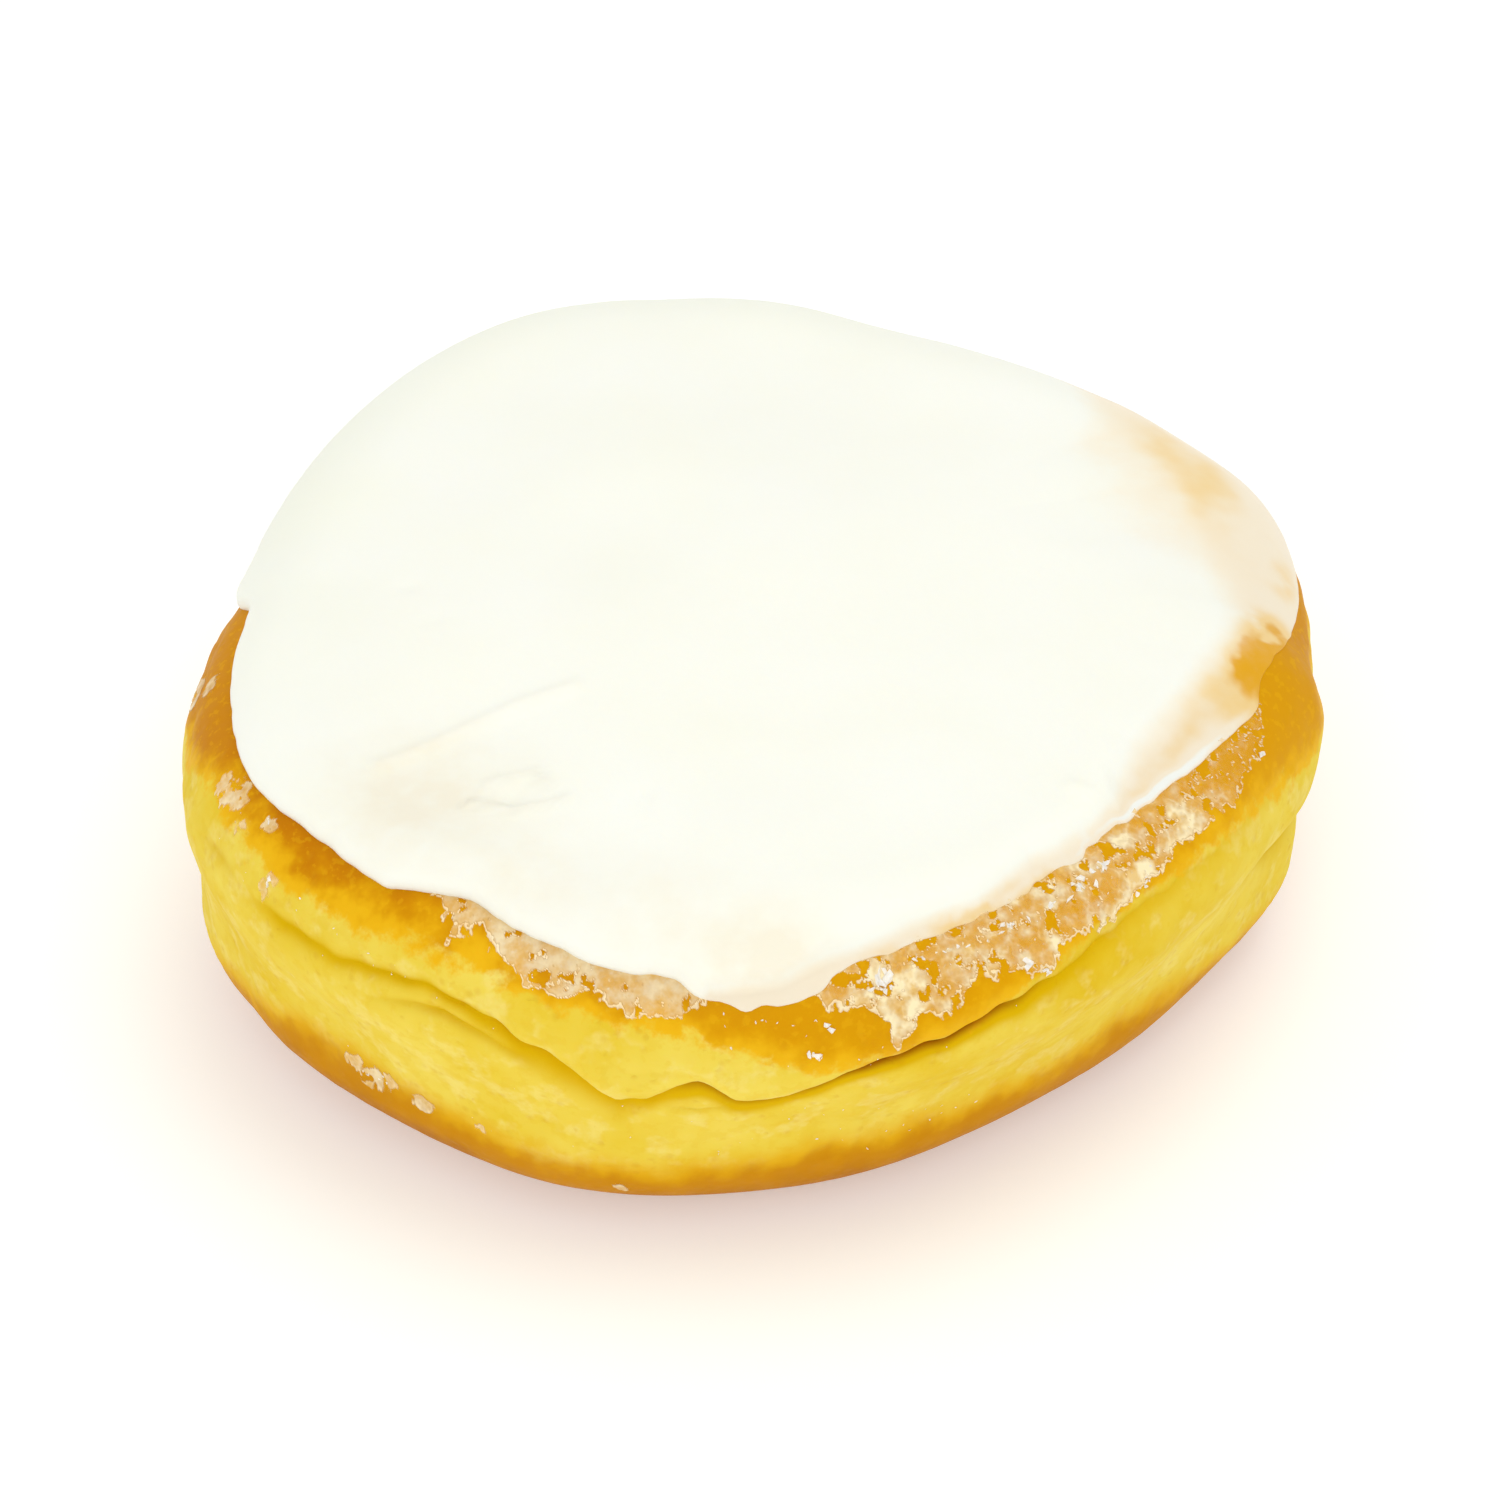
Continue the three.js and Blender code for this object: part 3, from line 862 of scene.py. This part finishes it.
# %% [markdown]
# ## Sugar flakes
#
# Where the glaze cracked, crumbs of it cling to the crust: flat white slivers, the largest about two
# millimetres long, thick along the torn edge and sparse elsewhere. Each one is the convex hull of a
# few random points, squashed flat and laid on the surface, and all of them together are one piece.

# %% Where the flakes lie: [angle, height, spread along, spread up, how many, size]
FLAKE_PATCHES = [
    [284, 27.7, 0.5, 0.3, 4, 1.8], [284.5, 27.2, 1.5, 0.5, 12, 0.8], [278.5, 25.0, 0.4, 0.3, 2, 1.1],
    [277, 22.8, 0.8, 0.4, 5, 0.8], [299, 25.9, 0.6, 0.3, 3, 1.0], [301.5, 25.1, 0.8, 0.3, 4, 0.8],
    [314.5, 26.6, 0.8, 0.4, 4, 0.9], [308, 28.8, 1.2, 0.3, 8, 1.1], [311, 29.1, 1.5, 0.2, 8, 1.0],
    [304, 28.6, 1.0, 0.2, 5, 0.9], [299, 28.5, 2.0, 0.2, 8, 0.7], [291, 28.3, 3.0, 0.2, 10, 0.6],
    [337.5, 27.5, 0.8, 0.3, 3, 0.9], [290, 28.0, 4, 1.0, 22, 0.4], [301, 28.2, 6, 1.0, 34, 0.4],
    [313, 27.4, 5, 0.8, 18, 0.4], [326, 28.6, 5, 0.7, 14, 0.4], [252, 26.9, 6, 0.5, 16, 0.3],
    [273, 25.4, 4, 0.8, 10, 0.3], [214.5, 27.8, 0.3, 0.2, 2, 0.8], [218.4, 25.2, 0.2, 0.5, 3, 0.8],
    [230, 9.4, 2.0, 0.6, 8, 0.45], [290, 9.6, 7, 1.6, 12, 0.35], [262, 13.0, 30, 4.0, 24, 0.25],
    [235, 24.5, 20, 2.0, 18, 0.25], [285, 22.0, 10, 1.5, 12, 0.3],
]
print(sum(patch[4] for patch in FLAKE_PATCHES), "flakes lie in", len(FLAKE_PATCHES), "patches")


# %% Make the flakes
def flake_corners(random, point, out, size):
    """Eight corners of one flake in millimetres, squashed flat and laid on the surface."""
    long = size * random.uniform(0.45, 1.25)
    scale = [long, long * random.uniform(0.3, 0.8), long * random.uniform(0.15, 0.4)]
    cloud = unit(random.normal(0, 1, (8, 3))) * scale / 2
    lay = Vector(out).to_track_quat("Z", "Y").to_matrix()
    turn = random.uniform(0, 2 * math.pi)
    cos, sin = math.cos(turn), math.sin(turn)
    spin = np.array([[cos, -sin, 0], [sin, cos, 0], [0, 0, 1]])
    return cloud @ spin.T @ np.array(lay).T + point + np.array(out) * scale[2] * 0.2


def sugar_flakes():
    random = np.random.default_rng(11)
    parts = bmesh.new()
    for angle, height, wide, tall, count, size in FLAKE_PATCHES:
        deg = angle + wide * random.normal(0, 0.6, count)
        level = height + tall * random.normal(0, 0.6, count)
        points, normal, _ = dough_relief(deg, station_at(deg, level))
        for point, out in zip(points, normal):
            cloud = flake_corners(random, point, out, size)
            corners = [parts.verts.new(((corner + SHIFT) * MM).tolist()) for corner in cloud]
            bmesh.ops.convex_hull(parts, input=corners, use_existing_faces=False)
    loose = [vert for vert in parts.verts if not vert.link_faces]
    bmesh.ops.delete(parts, geom=loose, context="VERTS")
    mesh = bpy.data.meshes.new("sugar_flakes")
    parts.to_mesh(mesh)
    parts.free()
    print("sugar_flakes has", len(mesh.polygons), "faces")
    return put_in_scene("sugar_flakes", mesh)


flakes = sugar_flakes()
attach(flakes, "root")

# %% [markdown]
# ## Building materials from nodes
#
# Every finish here is worked out by nodes from the place on the surface, so it has no seams and no
# stretched texture. Short helpers keep the node code readable. They add a node and wire its inputs,
# do sums with the values that nodes give, and start a reusable group with named sockets.


# %% Helpers for nodes
def colour(red, green, blue):
    """The light that a screen colour, given from 0 to 255, stands for."""
    share = np.array([red, green, blue]) / 255
    linear = np.where(share <= 0.04045, share / 12.92, ((share + 0.055) / 1.055) ** 2.4)
    return (*linear.tolist(), 1.0)


def wire(tree, node, inputs):
    """Gives each listed input of a node a plain value, or links another node's output to it."""
    for key, value in inputs.items():
        if isinstance(value, bpy.types.NodeSocket):
            tree.links.new(value, node.inputs[key])
        else:
            node.inputs[key].default_value = value


def add(tree, kind, inputs, **settings):
    """A new node with its settings and its inputs."""
    made = tree.nodes.new("ShaderNode" + kind)
    for key, value in settings.items():
        setattr(made, key, value)
    wire(tree, made, inputs)
    return made


# %% Sums with the values that nodes give
def maths(operation, first, second, clamp=False):
    """One step of arithmetic. At least one value comes from a node, and that gives the tree."""
    tree = next(value.id_data for value in (first, second) if isinstance(value, bpy.types.NodeSocket))
    made = add(tree, "Math", {0: first, 1: second}, operation=operation, use_clamp=clamp)
    return made.outputs[0]


def times(first, second, clamp=False):
    return maths("MULTIPLY", first, second, clamp)


def plus(first, second, clamp=False):
    return maths("ADD", first, second, clamp)


def minus(first, second):
    return maths("SUBTRACT", first, second)


def ramp(value, low, high):
    """0 below one value, 1 above another, and a smooth rise between them."""
    inputs = {"Value": value, "From Min": low, "From Max": high}
    made = add(value.id_data, "MapRange", inputs, interpolation_type="SMOOTHSTEP")
    return made.outputs["Result"]


def blend(share, first, second):
    """The first colour where the share is 0, the second where it is 1."""
    inputs = {0: share, 6: first, 7: second}
    return add(share.id_data, "Mix", inputs, data_type="RGBA").outputs[2]


def stored(tree, name):
    """A value that was stored on the mesh's points."""
    made = add(tree, "Attribute", {}, attribute_name=name, attribute_type="GEOMETRY")
    return made.outputs["Fac"]


# %% Helpers for groups
def new_group(name, inputs, outputs):
    """An empty group, what it is given, and the node that hands its results out."""
    tree = bpy.data.node_groups.new(name, "ShaderNodeTree")
    for label, default in inputs.items():
        socket = tree.interface.new_socket(label, in_out="INPUT", socket_type="NodeSocketFloat")
        socket.default_value = default
    for label in outputs:
        tree.interface.new_socket(label, in_out="OUTPUT", socket_type="NodeSocketFloat")
    return tree, tree.nodes.new("NodeGroupInput").outputs, tree.nodes.new("NodeGroupOutput")


def use(tree, group, **inputs):
    """Places a group with its own values, and gives its outputs."""
    return add(tree, "Group", inputs, node_tree=group).outputs


def per_mm(size):
    """The scale that gives a texture features of `size` millimetres on an object in metres."""
    return maths("DIVIDE", 1 / MM, size)


def noise_texture(tree, scale, **inputs):
    here = add(tree, "TexCoord", {}).outputs["Object"]
    return add(tree, "TexNoise", {"Vector": here, "Scale": scale, **inputs}).outputs["Fac"]


def cell_texture(tree, scale, metric="EUCLIDEAN"):
    """How far each place is from the nearest of a scatter of points."""
    here = add(tree, "TexCoord", {}).outputs["Object"]
    inputs = {"Vector": here, "Scale": scale}
    return add(tree, "TexVoronoi", inputs, feature="F1", distance=metric).outputs["Distance"]


# %% [markdown]
# ## Effects that several finishes share
#
# A *ragged mask* turns a distance in millimetres into a torn edge, for the end of the browned crust
# and the thinning of the icing. *Blotches* are soft patches of more and less colour. *Pores* are the
# pits and wrinkles of a fried skin. *Sugar grain* is the fine crystal of dried glaze and icing.


# %% Ragged mask and blotches
def ragged_mask():
    inputs = {"Distance": 0.0, "Raggedness": 1.0, "Size": 2.0, "Softness": 0.5}
    tree, given, result = new_group("ragged_mask", inputs, ["Mask"])
    tear = noise_texture(tree, per_mm(given["Size"]), Detail=4.0, Roughness=0.62)
    tear = times(times(minus(tear, 0.5), 3.0), given["Raggedness"])
    ragged = plus(given["Distance"], tear)
    low = times(given["Softness"], -1.0)
    wire(tree, result, {"Mask": ramp(ragged, low, given["Softness"])})
    return tree


def blotches():
    tree, given, result = new_group("blotches", {"Size": 8.0, "Contrast": 1.0}, ["Mask"])
    cloud = noise_texture(tree, per_mm(given["Size"]), Detail=3.0, Roughness=0.55)
    spread = times(minus(cloud, 0.5), given["Contrast"])
    wire(tree, result, {"Mask": plus(times(spread, 2.2), 0.5, clamp=True)})
    return tree


# %% Pores and sugar grain
def pores():
    tree, given, result = new_group("pores", {"Size": 1.2, "Wrinkle": 0.5}, ["Height", "Pit"])
    scale = per_mm(given["Size"])
    pit = minus(1.0, ramp(cell_texture(tree, scale), 0.05, 0.45))
    # Only some of the cells hold a pit.
    chance = noise_texture(tree, times(scale, 0.4))
    pit = times(pit, maths("GREATER_THAN", chance, 0.56))
    folds = {"Detail": 6.0, "Roughness": 0.6, "Distortion": 0.6}
    wrinkle = noise_texture(tree, times(scale, 0.7), **folds)
    height = minus(times(wrinkle, given["Wrinkle"]), times(pit, 0.5))
    wire(tree, result, {"Height": height, "Pit": pit})
    return tree


def sugar_grain():
    tree, given, result = new_group("sugar_grain", {"Size": 0.35}, ["Height", "Crystal"])
    scale = per_mm(given["Size"])
    facet = cell_texture(tree, scale, "CHEBYCHEV")
    cloud = noise_texture(tree, scale, Detail=3.0)
    height = plus(times(facet, 0.5), cloud)
    wire(tree, result, {"Height": height, "Crystal": ramp(cloud, 0.52, 0.66)})
    return tree


RAGGED, BLOTCHES, PORES, GRAIN = ragged_mask(), blotches(), pores(), sugar_grain()
for group in (RAGGED, BLOTCHES, PORES, GRAIN):
    print("the group", group.name, "has", len(group.nodes), "nodes")


# %% A start for every material
def new_material(name):
    made = bpy.data.materials.new(name)
    made.use_nodes = True
    shader = made.node_tree.nodes["Principled BSDF"]
    return made, made.node_tree, shader


def finish_with(tree, shader, base, roughness, height, depth_mm, shine=0.5):
    """Wires the colour, the roughness and a bump of a given depth, and sets how much it shines."""
    bump_node = add(tree, "Bump", {"Height": height, "Distance": depth_mm * MM, "Strength": 1.0})
    normal = bump_node.outputs["Normal"]
    wire(tree, shader, {"Base Color": base, "Roughness": roughness, "Normal": normal})
    shader.inputs["Specular IOR Level"].default_value = shine


def soften(shader, weight, depth_mm, radius):
    """Lets light sink in and come out again nearby, as it does in food."""
    shader.inputs["Subsurface Weight"].default_value = weight
    shader.inputs["Subsurface Scale"].default_value = depth_mm * MM
    shader.inputs["Subsurface Radius"].default_value = radius


def put_on(finish, *pieces):
    for piece in pieces:
        piece.data.materials.append(finish)
    print(finish.name, "has", len(finish.node_tree.nodes), "nodes and is on", len(pieces), "piece(s)")


# %% [markdown]
# ## Fried dough
#
# The waist never touches the hot fat for long, so it stays a pale egg yellow. Painted shade makes it a
# deeper yellow inside the folds and creases, brown right under the lip of the fold and a little browner
# in the pits. Above and below it the skin browns, more the further it is from the edge. The edges
# themselves are ragged, with yellow flecks in the brown. The skin is almost matt, with a trace of oil.

# %% The dough's colours, from pale waist to brown heel
CRUMB, CRUMB_WARM, CRUMB_AMBER = colour(240, 216, 90), colour(232, 200, 52), colour(226, 184, 14)
CRUMB_PALE, PAINTED_FOLD_SHADE, PAINTED_DEEP_FOLD_SHADE = colour(249, 236, 156), colour(220, 178, 0), colour(160, 96, 0)
CRUST_LIGHT, CRUST_MID, CRUST_DARK = colour(238, 184, 20), colour(226, 166, 0), colour(198, 122, 0)
HEEL_LIGHT, HEEL_MID, HEEL_DARK = colour(228, 174, 12), colour(203, 137, 0), colour(184, 116, 0)
PIT_SHADE = colour(206, 146, 20)


def pale_waist(tree, cloud, patch, fleck, fold):
    pale = blend(cloud, CRUMB, CRUMB_WARM)
    amber = times(stored(tree, "toast"), plus(cloud, patch))
    pale = blend(times(amber, 0.8, clamp=True), pale, CRUMB_AMBER)
    light = times(ramp(patch, 0.5, 1.0), plus(fleck, 0.8))
    pale = blend(times(light, 0.18, clamp=True), pale, CRUMB_PALE)
    freckle = use(tree, BLOTCHES, Size=1.3, Contrast=2.2)["Mask"]
    pale = blend(times(ramp(freckle, 0.6, 1.0), 0.17), pale, CRUMB_AMBER)
    # Painted shade: the folds and creases turn a deeper yellow.
    return blend(ramp(fold, 0.03, 0.5), pale, PAINTED_FOLD_SHADE)


def brown_crust(tree, crust, mottle, cloud, fleck):
    depth = plus(plus(crust, mottle), cloud)
    brown = blend(ramp(depth, 0.2, 2.6), CRUST_LIGHT, CRUST_MID)
    baked = times(ramp(depth, 0.8, 3.4), stored(tree, "browning"))
    brown = blend(baked, brown, CRUST_DARK)
    return blend(times(ramp(fleck, 0.7, 1.0), 0.25), brown, CRUST_LIGHT)


def brown_heel(heel, mottle):
    depth = plus(heel, times(mottle, 0.8))
    brown = blend(ramp(depth, 0.0, 3.0), HEEL_LIGHT, HEEL_MID)
    return blend(ramp(depth, 3.0, 7.0), brown, HEEL_DARK)


# %% The dough's finish
def dough_finish():
    made, tree, shader = new_material("dough_finish")
    crust, heel, fold = (stored(tree, name) for name in ("crust_mm", "heel_mm", "fold"))
    cloud = use(tree, BLOTCHES, Size=9.0, Contrast=1.2)["Mask"]
    patch = use(tree, BLOTCHES, Size=2.8, Contrast=1.6)["Mask"]
    fleck = use(tree, BLOTCHES, Size=0.8, Contrast=1.8)["Mask"]
    mottle = times(minus(patch, 0.5), 1.4)
    top = use(tree, RAGGED, Distance=crust, Raggedness=1.7, Size=2.2, Softness=0.6)["Mask"]
    bottom = use(tree, RAGGED, Distance=heel, Raggedness=0.65, Size=2.6, Softness=1.8)["Mask"]
    pale = pale_waist(tree, cloud, patch, fleck, fold)
    base = blend(top, pale, brown_crust(tree, crust, mottle, cloud, fleck))
    base = blend(bottom, base, brown_heel(heel, mottle))
    # Painted shade: brown right under the lip of the fold.
    base = blend(ramp(fold, 0.55, 1.4), base, PAINTED_DEEP_FOLD_SHADE)
    skin = use(tree, PORES, Size=1.1, Wrinkle=0.6)
    # Painted shade: the pits of the skin are a little browner.
    base = blend(times(skin["Pit"], 0.2), base, PIT_SHADE)
    oily = times(maths("MAXIMUM", top, bottom), -0.14)
    roughness = plus(plus(oily, 0.62), times(fleck, 0.1))
    finish_with(tree, shader, base, roughness, skin["Height"], depth_mm=0.05, shine=0.05)
    soften(shader, weight=0.15, depth_mm=1.2, radius=(1.0, 0.6, 0.15))
    return made


put_on(dough_finish(), dough)

# %% [markdown]
# ## Icing
#
# Set icing is ivory rather than white, with a soft satin skin and a grain too fine to see except in a
# raking light. Light sinks into it, so its edge glows a little. Its far rim is painted a shade greener
# and darker, as painted shade where it curves away from the light, and painted shade warms its ridges.
# Where the coat thins to a film, the crust under it shows as peach, then tan, then golden brown.


# %% The icing's finish
IVORY, IVORY_WARM, IVORY_THIN_AND_RIDGE_SHADE = colour(253, 254, 243), colour(252, 252, 236), colour(248, 241, 220)
IVORY_RIM_SHADE = colour(238, 243, 220)
PEACH, TAN, THROUGH = colour(254, 238, 208), colour(250, 212, 142), colour(236, 168, 14)


def icing_finish():
    made, tree, shader = new_material("icing_finish")
    cover, tone, warm_and_ridge_shade, rim = (stored(tree, name) for name in ("cover", "tone", "warm_and_ridge_shade", "rim"))
    cloud = use(tree, BLOTCHES, Size=16.0, Contrast=0.8)["Mask"]
    small = use(tree, BLOTCHES, Size=3.0, Contrast=1.0)["Mask"]
    coat = blend(cloud, IVORY, IVORY_WARM)
    warm_and_ridge_shade = times(warm_and_ridge_shade, plus(small, 0.5), clamp=True)
    # Warm where the coat is thin, and painted shade along the ridges.
    coat = blend(warm_and_ridge_shade, coat, IVORY_THIN_AND_RIDGE_SHADE)
    # Painted shade on the back rim.
    coat = blend(rim, coat, IVORY_RIM_SHADE)
    film = blend(ramp(tone, 0.05, 0.4), THROUGH, TAN)
    film = blend(ramp(tone, 0.4, 0.8), film, PEACH)
    film = blend(ramp(tone, 0.85, 1.05), film, IVORY)
    spread = minus(times(cover, 4.0), 1.2)
    full = use(tree, RAGGED, Distance=spread, Raggedness=0.5, Size=4.0, Softness=1.4)["Mask"]
    base = blend(full, film, coat)
    roughness = plus(times(cloud, 0.1), 0.36)
    grain = use(tree, GRAIN, Size=0.6)
    finish_with(tree, shader, base, roughness, grain["Height"], depth_mm=0.012, shine=0.16)
    soften(shader, weight=0.2, depth_mm=1.6, radius=(1.0, 0.9, 0.7))
    return made


put_on(icing_finish(), icing)

# %% [markdown]
# ## Dried glaze and sugar flakes
#
# Dried glaze is cloudy and the crust shows through it: peach where it lies thin over the brown, milky
# where it lies thicker or has cracked into fine threads, and white where it drew up into a rim or
# began to crystallise. The flakes are the same sugar, thick enough to be nearly white.


# %% The glaze's and the flakes' finish
GLAZE_PINK, GLAZE_MILKY = colour(254, 211, 116), colour(255, 236, 188)
GLAZE_WHITE = colour(255, 245, 218)
FLAKE_CREAM, FLAKE_WHITE = colour(255, 246, 228), colour(255, 254, 248)


def glaze_finish():
    made, tree, shader = new_material("glaze_finish")
    rim, body = stored(tree, "rim"), stored(tree, "body")
    cloud = use(tree, BLOTCHES, Size=1.8, Contrast=1.3)["Mask"]
    grain = use(tree, GRAIN, Size=0.3)
    base = blend(ramp(plus(body, cloud), 0.6, 1.6), GLAZE_PINK, GLAZE_MILKY)
    white = maths("MAXIMUM", times(grain["Crystal"], 0.25), times(rim, 0.7))
    base = blend(white, base, GLAZE_WHITE)
    roughness = plus(times(white, 0.25), 0.3)
    finish_with(tree, shader, base, roughness, grain["Height"], depth_mm=0.03, shine=0.2)
    share = times(body, plus(times(cloud, 0.4), 0.8))
    edge = times(ramp(rim, 0.25, 0.7), 0.7)
    wire(tree, shader, {"Alpha": plus(share, edge, clamp=True)})
    return made


def flake_finish():
    made, tree, shader = new_material("flake_finish")
    grain = use(tree, GRAIN, Size=0.2)
    base = blend(grain["Crystal"], FLAKE_CREAM, FLAKE_WHITE)
    roughness = plus(times(grain["Crystal"], 0.2), 0.35)
    finish_with(tree, shader, base, roughness, grain["Height"], depth_mm=0.02)
    soften(shader, weight=0.3, depth_mm=0.6, radius=(1.0, 0.9, 0.7))
    return made


put_on(glaze_finish(), *films)
put_on(flake_finish(), flakes)

# %% [markdown]
# ## Floor, light and camera
#
# The doughnut stands on a plain pale floor in a bright room. An even white surround fills the shadows,
# and two large soft lamps, one above and one in front, give the relief its shading. The floor glows a
# little, which keeps it white beside the lit icing. The camera looks down at forty degrees from the
# front through a long lens, so the round is hardly distorted.


# %% The floor
HALF_FLOOR = 1.5
FLOOR_LIGHT, FLOOR_DARK = colour(232, 232, 232), colour(229, 229, 229)
WHITE = (1.0, 1.0, 1.0, 1.0)


def floor_finish():
    made, tree, shader = new_material("floor_finish")
    cloud = use(tree, BLOTCHES, Size=120.0, Contrast=0.4)["Mask"]
    base = blend(cloud, FLOOR_LIGHT, FLOOR_DARK)
    glow = {"Emission Color": WHITE, "Emission Strength": 0.3}
    wire(tree, shader, {"Base Color": base, "Roughness": 0.85, **glow})
    return made


def floor():
    mesh = bpy.data.meshes.new("floor")
    signs = [(-1, -1), (1, -1), (1, 1), (-1, 1)]
    corners = [(x * HALF_FLOOR, y * HALF_FLOOR, 0) for x, y in signs]
    mesh.from_pydata(corners, [], [(0, 1, 2, 3)])
    return put_in_scene("floor", mesh)


ground = floor()
put_on(floor_finish(), ground)


# %% The light
def area_lamp(name, place_m, aim_m, size, power):
    lamp = bpy.data.lights.new(name, "AREA")
    lamp.shape, lamp.size, lamp.energy = "DISK", size, power
    holder = put_in_scene(name, lamp)
    holder.location = place_m
    holder.rotation_euler = (Vector(aim_m) - Vector(place_m)).to_track_quat("-Z", "Y").to_euler()
    print(name, "is", size, "m wide and gives", power, "W")


def bright_room(strength):
    """An even white surround."""
    world = bpy.data.worlds.new("bright_room")
    world.use_nodes = True
    background = world.node_tree.nodes["Background"]
    wire(world.node_tree, background, {"Color": WHITE, "Strength": strength})
    return world


MIDDLE = (0, 0, 0.02)
area_lamp("top_lamp", (0.2, 0.1, 0.9), MIDDLE, size=0.6, power=1.5)
area_lamp("front_lamp", (-0.2, -0.82, 0.6), MIDDLE, size=0.6, power=1.6)
bpy.context.scene.world = bright_room(strength=0.78)
bpy.context.scene.view_settings.view_transform = "Standard"

# %% The camera
ELEVATION, DISTANCE, LENS = math.radians(40.03), 0.43, 124.25
print("the camera looks down at", round(math.degrees(ELEVATION), 1), "degrees, from", DISTANCE, "m")
AIM = Vector((0.69, -0.43, 14.49)) * MM + Vector(SHIFT) * MM
camera = bpy.data.cameras.new("camera")
camera.lens, camera.clip_start = LENS, 0.01
holder = put_in_scene("camera", camera)
back = Vector((0, -math.cos(ELEVATION), math.sin(ELEVATION)))
holder.location = AIM + back * DISTANCE
holder.rotation_euler = (-back).to_track_quat("-Z", "Y").to_euler()
bpy.context.scene.camera = holder
